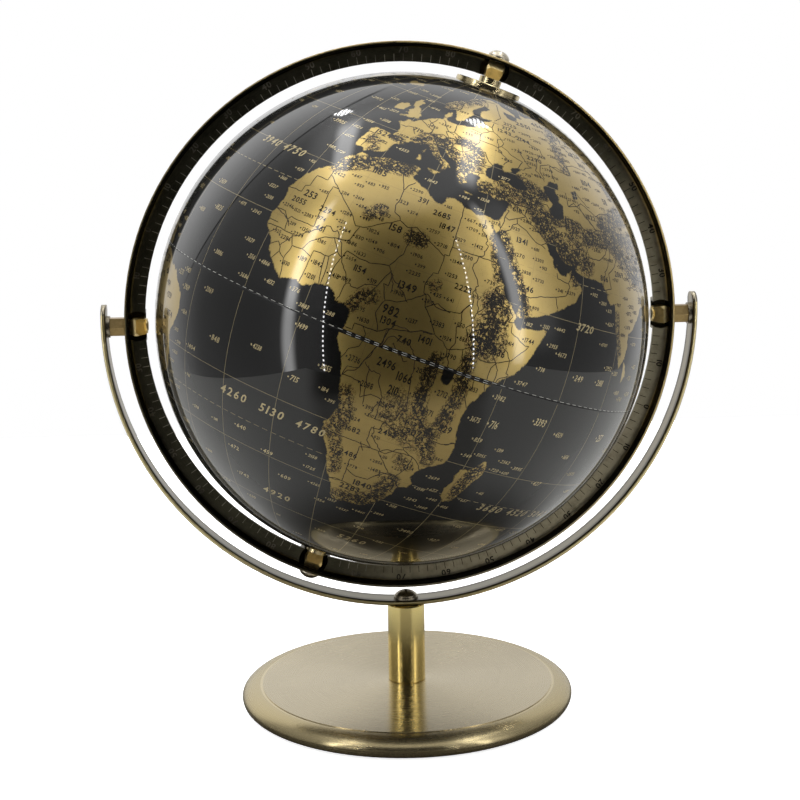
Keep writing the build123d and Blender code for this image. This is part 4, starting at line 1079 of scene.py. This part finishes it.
def typeset(shapes, text, size, gap, slant):
    """A centred line of figures, size high: flat points, in metres, and faces."""
    points, faces, pen = [], [], 0.0
    for figure in text:
        outline, parts, width = shapes[figure]
        first = sum(len(p) for p in points)
        points.append(outline + np.array((pen, 0.0)))
        faces += [tuple(first + i for i in part) for part in parts]
        pen += width + gap
    points = np.concatenate(points)
    points[:, 0] += slant * points[:, 1] - (pen - gap) / 2
    points[:, 1] -= 0.5
    return points * size, faces


def on_page(points, longitude, latitude, lift, turn):
    """Bends flat points onto the ball, along the parallel through a place of the print."""
    height = latitude + points[:, 1] / DEGREE
    return on_ball(longitude + points[:, 0] / DEGREE / math.cos(math.radians(latitude)), height,
                   BALL_RADIUS + lift, turn)


PLACES_TRIED = 15000
PLACES_SEED = 7
LAND_ROOM, SHORE_ROOM, SEA_ROOM = 3.2 * MM, 4.6 * MM, 12.0 * MM
DEPTH_ROOM = 11.0 * MM


def chosen_places(chart, lines, seed):
    """Scattered spot heights and depths: (longitude, latitude, size, text, on land).

    Places are tried at random. One is kept where its label fits on one side of the coast, clear of
    the lines, the mountains and the labels chosen before it.
    """
    random = np.random.default_rng(seed)
    crowd = np.concatenate([unit(*np.array(densified(line, 0.6)).T) for line in lines])
    taken = KDTree(len(crowd))
    for i, spot in enumerate(crowd):
        taken.insert(spot, i)
    taken.balance()
    count = PLACES_TRIED
    longitude = random.uniform(-180, 180, count)
    latitude = np.degrees(np.arcsin(random.uniform(-0.97, 0.985, count)))
    sizes = random.choice((2.7, 2.2, 1.5, 1.4, 1.3), count) * MM
    digits = random.choice((3, 4, 4), count)
    figure_half_width = 0.36
    reach = sizes / DEGREE * figure_half_width * digits / np.cos(np.radians(latitude))
    sample = np.array([chart.coast(unit(longitude + reach * side, latitude))
                       for side in (-1.15, 0.0, 1.15)])
    on_land = (sample > 0.9).all(axis=0)
    at_sea = (sample < -1.0).all(axis=0)
    offshore = at_sea & (sample.max(axis=0) > -6.5)
    sizes[offshore] = np.minimum(sizes[offshore], 1.4 * MM)
    rocky = chart.relief(unit(longitude, latitude))
    chosen, spots, held = [], np.empty((0, 3)), np.empty((0, 4))
    for i in range(count):
        if not (on_land[i] or at_sea[i]) or abs(latitude[i]) < 1.6 or rocky[i] > 0.75:
            continue
        here = unit(longitude[i], latitude[i])
        if taken.find(here)[2] * BALL_RADIUS < sizes[i] * 0.95:
            continue
        room = LAND_ROOM if on_land[i] else SHORE_ROOM if offshore[i] else SEA_ROOM
        if len(spots) and np.linalg.norm(spots - here, axis=1).min() < room / BALL_RADIUS:
            continue
        if at_sea[i] and latitude[i] < -40 and digits[i] == 4:
            continue
        east = np.abs((held[:, 0] - longitude[i] + 180) % 360 - 180)
        north = np.abs(held[:, 1] - latitude[i])
        across = east < 1.15 * (held[:, 2] + reach[i])
        if (across & (north < 0.62 * (held[:, 3] + sizes[i]) / DEGREE)).any():
            continue
        spots = np.concatenate((spots, here[None]))
        held = np.concatenate((held, ((longitude[i], latitude[i], reach[i], sizes[i]),)))
        low, high = (110, 990) if digits[i] == 3 else (1010, 5600 if at_sea[i] else 2900)
        size = min(sizes[i], (3.0 if on_land[i] else 1.9) * MM)
        chosen.append((longitude[i], latitude[i], size, str(random.integers(low, high)),
                       on_land[i]))
    return chosen


class GLOBE_OT_map(bpy.types.Operator):
    """Printed half balls with coasts, borders, rivers and plain numbers"""
    bl_idname = "globe.map"
    bl_label = "Printed ball"

    def execute(self, context):
        settings = context.scene.globe_map
        turn = globe_turn(settings.front_longitude)
        chart = Chart()
        finish = map_print(settings)
        for name, sign in (("map_north", 1), ("map_south", -1)):
            half = half_ball(name, sign, settings, chart, turn)
            half.data.materials.append(finish)
            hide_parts(name.replace("map", "globe"))
        borders, rivers = rings(BORDERS), rings(RIVERS)
        lift = 0.02 * MM
        for name, lines, width, sway, tone in (
                ("map_borders", borders, settings.line_width, 0.3 * MM, tuple(settings.ink)),
                ("map_rivers", rivers, settings.line_width * 1.15, 1.3 * MM,
                 (0.045, 0.030, 0.014))):
            corners, faces = drawn_lines(lines, width, sway, lift, turn)
            mesh = facing_out(name, np.array(corners), faces)
            mesh.materials.append(ink(name + "_ink", tone, 0.0, 0.5))
            placed(mesh, name, "globe")
        self.figures(chart, borders, lift, turn, settings)
        return {"FINISHED"}

    def figures(self, chart, lines, lift, turn, settings):
        """Spot heights on land in dark ink, depths at sea in metallic ink."""
        shapes = glyphs()
        labels = [(lon, lat, size * MM, text, False) for lon, lat, size, text in DEPTHS]
        held = unit(*np.array([(label[0], label[1]) for label in labels]).T)
        for label in chosen_places(chart, lines, PLACES_SEED):
            away = np.linalg.norm(held - unit(label[0], label[1]), axis=1).min() * BALL_RADIUS
            if away > DEPTH_ROOM:
                labels.append(label)
        for name, wanted, tone, metallic in (
                ("map_heights", True, tuple(settings.ink), 0.0),
                ("map_depths", False, (0.50, 0.41, 0.22), 0.6)):
            points, faces = [], []
            for lon, lat, size, text, on_land in labels:
                if on_land != wanted:
                    continue
                gap = 0.30 if size > 3 * MM else 0.13
                flat, parts = typeset(shapes, text, size, gap, 0.0 if on_land else 0.28)
                first = sum(len(p) for p in points)
                points.append(on_page(flat, lon, lat, lift * 1.5, turn))
                faces += [tuple(first + i for i in part) for part in parts]
                if size < 2 * MM:
                    angle = np.arange(6) * math.pi / 3
                    dot = np.stack((np.cos(angle), np.sin(angle)), axis=-1) * 0.32 * MM
                    dot[:, 0] += flat[:, 0].min() - 0.8 * MM
                    first = sum(len(p) for p in points)
                    points.append(on_page(dot, lon, lat, lift * 1.5, turn))
                    faces.append(tuple(range(first, first + 6)))
            mesh = facing_out(name, np.concatenate(points), faces)
            mesh.materials.append(ink(name + "_ink", tone, metallic, 0.42))
            placed(mesh, name, "globe")


# ---------------------------------------------------------------- marks repeated round a circle
def marks_group():
    """Geometry Nodes group: bars set at equal angles round the Y axis."""
    group = bpy.data.node_groups.new("marks_round", "GeometryNodeTree")
    sockets = (("Count", "NodeSocketInt", 1), ("Radius", "NodeSocketFloat", 0.1),
               ("Height", "NodeSocketFloat", 0.0), ("Start", "NodeSocketFloat", 0.0),
               ("Step", "NodeSocketFloat", 0.1), ("Bar", "NodeSocketVector", (0.001,) * 3),
               ("Finish", "NodeSocketMaterial", None))
    for name, kind, default in sockets:
        socket = group.interface.new_socket(name, in_out="INPUT", socket_type=kind)
        if default is not None:
            socket.default_value = default
    group.interface.new_socket("Geometry", in_out="OUTPUT", socket_type="NodeSocketGeometry")
    w = Wiring(group)
    given = w.node("NodeGroupInput").outputs
    points = w.node("GeometryNodePoints")
    w.feed(points.inputs["Count"], given["Count"])
    index = w.node("GeometryNodeInputIndex").outputs[0]
    angle = w.math("ADD", given["Start"], w.math("MULTIPLY", index, given["Step"]))
    across = w.math("MULTIPLY", w.math("SINE", angle), given["Radius"])
    up = w.math("MULTIPLY", w.math("COSINE", angle), given["Radius"])
    w.feed(points.inputs["Position"], w.joined(across, given["Height"], up))
    bar = w.node("GeometryNodeMeshCube")
    w.feed(bar.inputs["Size"], given["Bar"])
    spread = w.node("GeometryNodeInstanceOnPoints")
    w.feed(spread.inputs["Points"], points.outputs[0])
    w.feed(spread.inputs["Instance"], bar.outputs["Mesh"])
    w.feed(spread.inputs["Rotation"], w.joined(0.0, angle, 0.0))
    solid = w.node("GeometryNodeRealizeInstances")
    w.feed(solid.inputs[0], spread.outputs[0])
    finish = w.node("GeometryNodeSetMaterial")
    w.feed(finish.inputs["Geometry"], solid.outputs[0])
    w.feed(finish.inputs["Material"], given["Finish"])
    out = w.node("NodeGroupOutput")
    w.feed(out.inputs[0], finish.outputs[0])
    return group


def marks_mesh(group, **values):
    """Points and faces of the bars the group makes from these values."""
    holder = bpy.data.objects.new("marks", bpy.data.meshes.new("marks"))
    bpy.context.scene.collection.objects.link(holder)
    modifier = holder.modifiers.new("marks", "NODES")
    modifier.node_group = group
    for item in group.interface.items_tree:
        if item.in_out == "INPUT" and item.name in values:
            modifier[item.identifier] = values[item.name]
    graph = bpy.context.evaluated_depsgraph_get()
    graph.update()
    mesh = bpy.data.meshes.new_from_object(holder.evaluated_get(graph))
    points = np.array([vertex.co[:] for vertex in mesh.vertices])
    faces = [tuple(face.vertices) for face in mesh.polygons]
    bpy.data.objects.remove(holder)
    bpy.data.meshes.remove(mesh)
    return points, faces


def gathered(name, parts, finish):
    """One mesh from several lists of points and faces."""
    points, faces, first = [], [], 0
    for corners, sides in parts:
        points.append(corners)
        faces += [tuple(first + i for i in side) for side in sides]
        first += len(corners)
    mesh = bpy.data.meshes.new(name)
    mesh.from_pydata(np.concatenate(points).tolist(), [], faces)
    mesh.materials.append(finish)
    return mesh


class GLOBE_OT_equator(bpy.types.Operator):
    """Two rows of light dashes along the equator"""
    bl_idname = "globe.equator"
    bl_label = "Equator dashes"

    def execute(self, context):
        settings = context.scene.globe_map
        chart = Chart()
        group = marks_group()
        finish = ink("dash_ink", tuple(settings.dash), 0.0, 0.4)
        turn = np.array(globe_turn(settings.front_longitude))
        parts = []
        for side in (1, -1):
            points, faces = marks_mesh(
                group, Count=180, Radius=BALL_RADIUS, Height=side * 0.38 * MM,
                Start=math.radians(1.0), Step=math.radians(2.0),
                Bar=(1.9 * MM, 0.17 * MM, 0.06 * MM), Finish=finish)
            points = np.stack((points[:, 0], points[:, 2], points[:, 1]), axis=-1)
            if side < 0:
                bars = points.reshape(-1, 8, 3).mean(axis=1) / BALL_RADIUS
                ashore = np.repeat(chart.coast(bars) > 1.0, 8)
                faces = [face for face in faces if ashore[face[0]]]
            parts.append((points @ turn.T + np.array(CENTER), [face[::-1] for face in faces]))
        mesh = gathered("equator_dashes", parts, finish)
        placed(mesh, "equator_dashes", "globe")
        return {"FINISHED"}


MARK_GAP, FIGURE_GAP = 4.8, 6.5  # degrees kept free on each side of a block


class GLOBE_OT_scale(bpy.types.Operator):
    """Marks every two degrees and raised figures every ten on both faces of the ring"""
    bl_idname = "globe.scale"
    bl_label = "Ring scale"

    def execute(self, context):
        settings = context.scene.globe_scale
        group = marks_group()
        inner = BALL_RADIUS + RING_CLEARANCE
        face = RING_WEB / 2
        tick = cast_mark("tick_metal", tuple(settings.tick), tuple(settings.shaded))
        parts, step = [], settings.tick_step
        stations = sorted(angle % 360 for angle in RING_STATIONS)
        for start, end in zip(stations, stations[1:] + [stations[0] + 360]):
            first = AXIS_TILT + step * math.ceil((start + MARK_GAP - AXIS_TILT) / step)
            count = int((end - MARK_GAP - first) // step) + 1
            for side in (1, -1):
                parts.append(marks_mesh(
                    group, Count=count, Radius=inner + 0.35 * MM + settings.tick_length / 2,
                    Height=side * face, Start=math.radians(first), Step=math.radians(step),
                    Bar=(settings.tick_width, 2 * settings.tick_height, settings.tick_length),
                    Finish=tick))
        parts = [(points + np.array(CENTER), faces) for points, faces in parts]
        placed(gathered("ring_marks", parts, tick), "ring_marks", "ring")
        self.figures(settings, inner, face)
        return {"FINISHED"}

    def figures(self, settings, inner, face):
        """Raised figures counting down from 90 at each pole to 0 beside the equator."""
        shapes = glyphs()
        finish = cast_mark("figure_metal", tuple(settings.figure), tuple(settings.shaded))
        middle = inner + settings.tick_length + 0.7 * MM + settings.figure_size / 2
        parts = []
        for place in range(0, 360, 10):
            angle = AXIS_TILT + place
            if min(abs((angle - station + 180) % 360 - 180)
                   for station in RING_STATIONS) < FIGURE_GAP:
                continue
            text = str(abs(90 - place % 180))
            for side in (1, -1):
                flat, sides = typeset(shapes, text, settings.figure_size, 0.12, 0.0)
                turned = math.radians(angle)
                right = np.array((math.cos(turned), 0, -math.sin(turned))) * (1 if side < 0 else -1)
                up = np.array((math.sin(turned), 0, math.cos(turned)))
                base = (flat[:, :1] * right + flat[:, 1:] * up + up * middle + np.array(CENTER))
                parts.append(raised(base, sides, np.array((0, side, 0)),
                                    face - 0.02 * MM, face + 0.16 * MM))
        placed(gathered("ring_figures", parts, finish), "ring_figures", "ring")


def raised(base, faces, out, low, high):
    """Solid between two copies of flat faces, one at each height along out."""
    edges = {}
    for side in faces:
        for a, b in zip(side, side[1:] + side[:1]):
            edges[(a, b)] = edges.get((a, b), 0) + 1
    rim = [(a, b) for a, b in edges if (b, a) not in edges]
    count = len(base)
    points = np.concatenate((base + out * low, base + out * high))
    sides = [side[::-1] for side in faces] + [tuple(count + i for i in side) for side in faces]
    sides += [(a, b, count + b, count + a) for a, b in rim]
    return points, sides


def cast_mark(name, tone, shaded):
    """Metal of the marks: rubbed brighter in places, with painted shade low on the right of the
    ring, where the ring itself has painted light.
    """
    made, w = material(name)
    rubbed = w.noise(object_coordinates(w), 160.0, 3.0, 0.6)
    _, angle, _ = round_coordinates(w, CENTER, (0, 2, 1))
    shade = w.mix(w.step(rubbed, 0.3, 0.65), tuple(c * 0.4 for c in tone), tone)
    # Painted shade: the marks turn dark low on the right of the ring.
    shade = w.mix(w.step(low_right(w, angle), 0.0, 0.35), shade, shaded)
    body = w.shader("ShaderNodeBsdfPrincipled", Metallic=1.0, Roughness=0.56, Base_Color=shade)
    w.surface(body.outputs[0])
    return made


# ---------------------------------------------------------------- studio
class GlobeStageSettings(bpy.types.PropertyGroup):
    """Studio: a light tent on a white table."""
    table_size: length("Table", "Side of the white sheet", 1.1)
    key_power: FloatProperty(name="Key", description="Power of each side panel", default=0.4,
                             subtype="POWER", unit="POWER")
    top_power: FloatProperty(name="Top", description="Power of the top panel", default=1.2,
                             subtype="POWER", unit="POWER")
    cloth: FloatProperty(name="Cloth", description="Brightness of the tent's side walls",
                         default=0.5)
    lens: FloatProperty(name="Lens", description="Focal length, in millimetres", default=78.59)


OPENING_SIDE, OPENING_HALF = -6.0, 30.0  # degrees round from the front
SEAM = 0.858  # how far along its own direction the tent's seam lies
CAMERA_PLACE = Vector((-0.05048, -0.70457, 0.10458))  # measured from the ball's centre
CAMERA_FORWARD = Vector((0.07583, 0.98166, -0.17488))
CAMERA_ROLL = -0.737  # degrees


def bearing(w, x, y):
    """Degrees round from the front, to the right."""
    return w.math("DEGREES", w.math("ARCTAN2", x, w.math("MULTIPLY", y, -1.0)))


def tent(scene, cloth):
    """World of a light tent: white behind, soft side walls, a dark opening and two lamp strips."""
    world = bpy.data.worlds.new("light_tent")
    scene.world = world
    world.use_nodes = True
    w = Wiring(world.node_tree)
    direction = w.node("ShaderNodeTexCoord").outputs["Generated"]
    x, y, z = w.split(direction)
    side = bearing(w, x, y)
    rise = w.math("DEGREES", w.math("ARCSINE", z))

    def patch(middle, half, soft, low, high, rise_soft, strength):
        """A soft patch of light on the wall, placed in degrees across and up."""
        across = w.band(side, middle, half, soft)
        up = w.band(rise, (low + high) / 2, (high - low) / 2, rise_soft)
        return w.math("MULTIPLY", w.math("MULTIPLY", across, up), strength)

    behind = w.step(y, 0.25, 0.75)
    ceiling = w.step(rise, 54.0, 64.0)
    seam = w.math("ADD", w.math("MULTIPLY", x, -0.442), w.math("MULTIPLY", y, 0.816))
    seam = w.math("ADD", seam, w.math("MULTIPLY", z, 0.372))
    low_cloth = w.math("ADD", 0.66, w.math("MULTIPLY", w.step(rise, 4.0, 36.0), 0.34))
    level = w.math("ADD", w.math("MULTIPLY", low_cloth, cloth), w.math("MULTIPLY", behind, 0.5))
    level = w.math("ADD", level, w.math("MULTIPLY", ceiling, 0.8))
    upper = w.step(z, 0.0, 0.3)
    lapped = w.math("MULTIPLY", w.step(seam, SEAM, SEAM + 0.004), upper)
    level = w.math("ADD", level, w.math("MULTIPLY", lapped, 0.22))
    thread = w.math("MULTIPLY", w.band(seam, SEAM, 0.003, 0.003), upper)
    shown = w.math("SUBTRACT", 0.9, w.math("MULTIPLY", w.step(x, -0.08, 0.06), 0.9))
    thread = w.math("MULTIPLY", thread, shown)
    level = w.math("MULTIPLY", level, w.math("SUBTRACT", 1.0, thread))
    opening = patch(OPENING_SIDE, OPENING_HALF, 5.0, -24.0, 52.0, 6.0, 1.0)
    level = w.math("MULTIPLY", level, w.math("SUBTRACT", 1.0, w.math("MULTIPLY", opening, 0.94)))
    slanted = w.math("SUBTRACT", x, w.math("MULTIPLY", y, 0.35))
    overhead = w.step(z, 0.70, 0.80)

    cluster = w.math("MULTIPLY", w.math("SINE", w.math("MULTIPLY", rise, 4.2)),
                     w.math("SINE", w.math("MULTIPLY", side, 2.1)))
    cluster = w.step(cluster, -0.1, 0.3)

    def batten(across, middle, low, high, strength):
        """A thin bright strip along Y on the ceiling."""
        along = w.band(y, (low + high) / 2, (high - low) / 2, 0.16)
        return w.math("MULTIPLY", w.math("MULTIPLY", w.band(across, middle, 0.02, 0.06), overhead),
                      w.math("MULTIPLY", along, strength))

    glows = (patch(-56.0, 0.6, 4.0, -18.0, 50.0, 9.0, 5.0),
             patch(-56.0, 0.6, 3.0, 18.0, 50.0, 12.0, 3.0),
             patch(49.0, 0.8, 3.5, -8.0, 48.0, 9.0, 4.8),
             patch(58.0, 4.0, 12.0, 0.0, 46.0, 12.0, 0.6),
             batten(slanted, -0.345, -0.06, 0.30, 5.5), batten(x, 0.40, -0.14, 0.28, 5.5),
             w.math("MULTIPLY", patch(-160.0, 2.0, 2.0, 53.3, 55.7, 1.5, 34.0), cluster),
             w.math("MULTIPLY", patch(139.0, 2.5, 3.0, 53.0, 56.0, 2.0, 34.0), cluster))
    for glow in glows:
        level = w.math("ADD", level, glow)
    dots = w.step(w.math("SINE", w.math("MULTIPLY", rise, 3.1)), 0.0, 0.5)
    for middle, low, high in ((-39.3, -17.0, 50.0), (27.3, -13.0, 42.0)):
        strip = w.math("MULTIPLY", patch(middle, 0.22, 0.2, low, high, 1.0, 24.0), dots)
        level = w.math("ADD", level, strip)

    seen = w.node("ShaderNodeLightPath").outputs["Is Camera Ray"]
    strength = w.math("ADD", w.math("MULTIPLY", seen, w.math("SUBTRACT", 1.0, level)), level)
    background = w.shader("ShaderNodeBackground", Color=(1.0, 1.0, 1.0), Strength=strength)
    world.cycles.sampling_method = "MANUAL"
    world.cycles.sample_map_resolution = 2048
    out = w.node("ShaderNodeOutputWorld")
    w.tree.links.new(background.outputs[0], out.inputs["Surface"])


def panel_light(name, place, size_x, size_y, power, aim):
    """Soft rectangular lamp that faces aim and isn't mirrored in the metal."""
    data = bpy.data.lights.new(name, "AREA")
    data.shape = "RECTANGLE"
    data.size = size_x
    data.size_y = size_y
    data.energy = power
    lamp = bpy.data.objects.new(name, data)
    lamp.location = place
    lamp.rotation_euler = (Vector(aim) - Vector(place)).to_track_quat("-Z", "Y").to_euler()
    lamp.visible_glossy = False
    bpy.context.scene.collection.objects.link(lamp)


def table(size):
    """White sheet that keeps a soft shadow of the globe and shows as white to the camera; in
    reflections it is grey, with painted shade in front and a painted shadow round the base.
    """
    half = size / 2
    mesh = bpy.data.meshes.new("table")
    mesh.from_pydata([(-half, -half, 0), (half, -half, 0), (half, half, 0), (-half, half, 0)], [],
                     [(0, 1, 2, 3)])
    sheet = bpy.data.objects.new("table", mesh)
    bpy.context.scene.collection.objects.link(sheet)
    finish, w = material("white_sheet")
    spot = object_coordinates(w)
    x, y, _ = w.split(spot)
    side = bearing(w, x, y)
    away = w.math("SQRT", w.math("ADD", w.math("MULTIPLY", x, x), w.math("MULTIPLY", y, y)))
    # Painted shade for reflections: grey at the sides, darker in front where the tent is open, near
    # black far out in front.
    front = w.band(side, OPENING_SIDE, OPENING_HALF, 10.0)
    far = w.math("MULTIPLY", front, w.step(away, 0.33, 0.48))
    mirrored = w.mix(front, (0.62, 0.62, 0.60), (0.34, 0.33, 0.31))
    mirrored = w.mix(far, mirrored, (0.05, 0.048, 0.044))
    # Painted shadow of the globe round the base, seen only in reflections.
    mirrored = w.mix(w.step(away, 0.065, 0.15), (0.125, 0.12, 0.112), mirrored)
    white = w.mix(w.noise(spot, 400.0, 3.0, 0.6), (0.88, 0.88, 0.88), (0.92, 0.92, 0.92))
    seen = w.node("ShaderNodeLightPath").outputs["Is Camera Ray"]
    paper = w.shader("ShaderNodeBsdfDiffuse", Color=w.mix(seen, mirrored, white))
    glow = w.shader("ShaderNodeEmission", Color=(1.0, 1.0, 1.0),
                    Strength=w.math("MULTIPLY", seen, 0.84))
    lit = w.node("ShaderNodeAddShader")
    w.tree.links.new(paper.outputs[0], lit.inputs[0])
    w.tree.links.new(glow.outputs[0], lit.inputs[1])
    w.surface(lit.outputs[0])
    mesh.materials.append(finish)


def camera(scene, lens):
    """Camera a little above the ball, slightly left of the middle, level but for a hair of roll."""
    data = bpy.data.cameras.new("camera")
    data.sensor_width = 36.0
    data.lens = lens
    data.shift_x = -0.01543
    data.shift_y = -0.0376
    data.clip_start = 0.01
    maker = bpy.data.objects.new("camera", data)
    scene.collection.objects.link(maker)
    maker.location = CENTER + CAMERA_PLACE
    forward = CAMERA_FORWARD.normalized()
    right = forward.cross(Vector((0, 0, 1))).normalized()
    up = right.cross(forward)
    roll = math.radians(CAMERA_ROLL)
    rolled_right = right * math.cos(roll) + up * math.sin(roll)
    rolled_up = up * math.cos(roll) - right * math.sin(roll)
    maker.rotation_euler = Matrix((rolled_right, rolled_up, -forward)).transposed().to_euler()
    scene.camera = maker


class GLOBE_OT_stage(bpy.types.Operator):
    """Table, light tent, lamps and camera"""
    bl_idname = "globe.stage"
    bl_label = "Studio"

    def execute(self, context):
        scene = context.scene
        settings = scene.globe_stage
        table(settings.table_size)
        tent(scene, settings.cloth)
        for name, side in (("left_panel", -1), ("right_panel", 1)):
            panel_light(name, (side * 0.62, -0.15, 0.40), 0.3, 0.6, settings.key_power,
                        (side * 0.32, -0.1, 0.0))
        panel_light("top_panel", (0.0, 0.0, 0.95), 0.42, 0.42, settings.top_power, CENTER)
        camera(scene, settings.lens)
        scene.view_settings.view_transform = "Standard"
        bpy.context.scene.camera = scene.camera
        return {"FINISHED"}


# ---------------------------------------------------------------- panel and running
STEPS = (GLOBE_OT_stage, GLOBE_OT_metals, GLOBE_OT_map, GLOBE_OT_equator, GLOBE_OT_scale)
SETTINGS = {"globe_map": GlobeMapSettings, "globe_scale": GlobeScaleSettings,
            "globe_metal": GlobeMetalSettings, "globe_stage": GlobeStageSettings}


class GLOBE_PT_panel(bpy.types.Panel):
    """Lists the settings and the steps"""
    bl_label = "Desktop globe"
    bl_idname = "GLOBE_PT_panel"
    bl_space_type = "VIEW_3D"
    bl_region_type = "UI"
    bl_category = "Globe"

    def draw(self, context):
        for step in STEPS:
            self.layout.operator(step.bl_idname)
        for name, group in SETTINGS.items():
            box = self.layout.box()
            box.label(text=group.__doc__)
            for key in group.__annotations__:
                box.prop(getattr(context.scene, name), key)


CLASSES = (*SETTINGS.values(), *STEPS, GLOBE_PT_panel)


def register():
    for cls in CLASSES:
        bpy.utils.register_class(cls)
    for name, group in SETTINGS.items():
        setattr(bpy.types.Scene, name, PointerProperty(type=group))


def unregister():
    for name in SETTINGS:
        delattr(bpy.types.Scene, name)
    for cls in reversed(CLASSES):
        bpy.utils.unregister_class(cls)


def main():
    """Builds everything in order."""
    register()
    for step in STEPS:
        group, name = step.bl_idname.split(".")
        getattr(getattr(bpy.ops, group), name)()


if __name__ == "__main__":
    main()
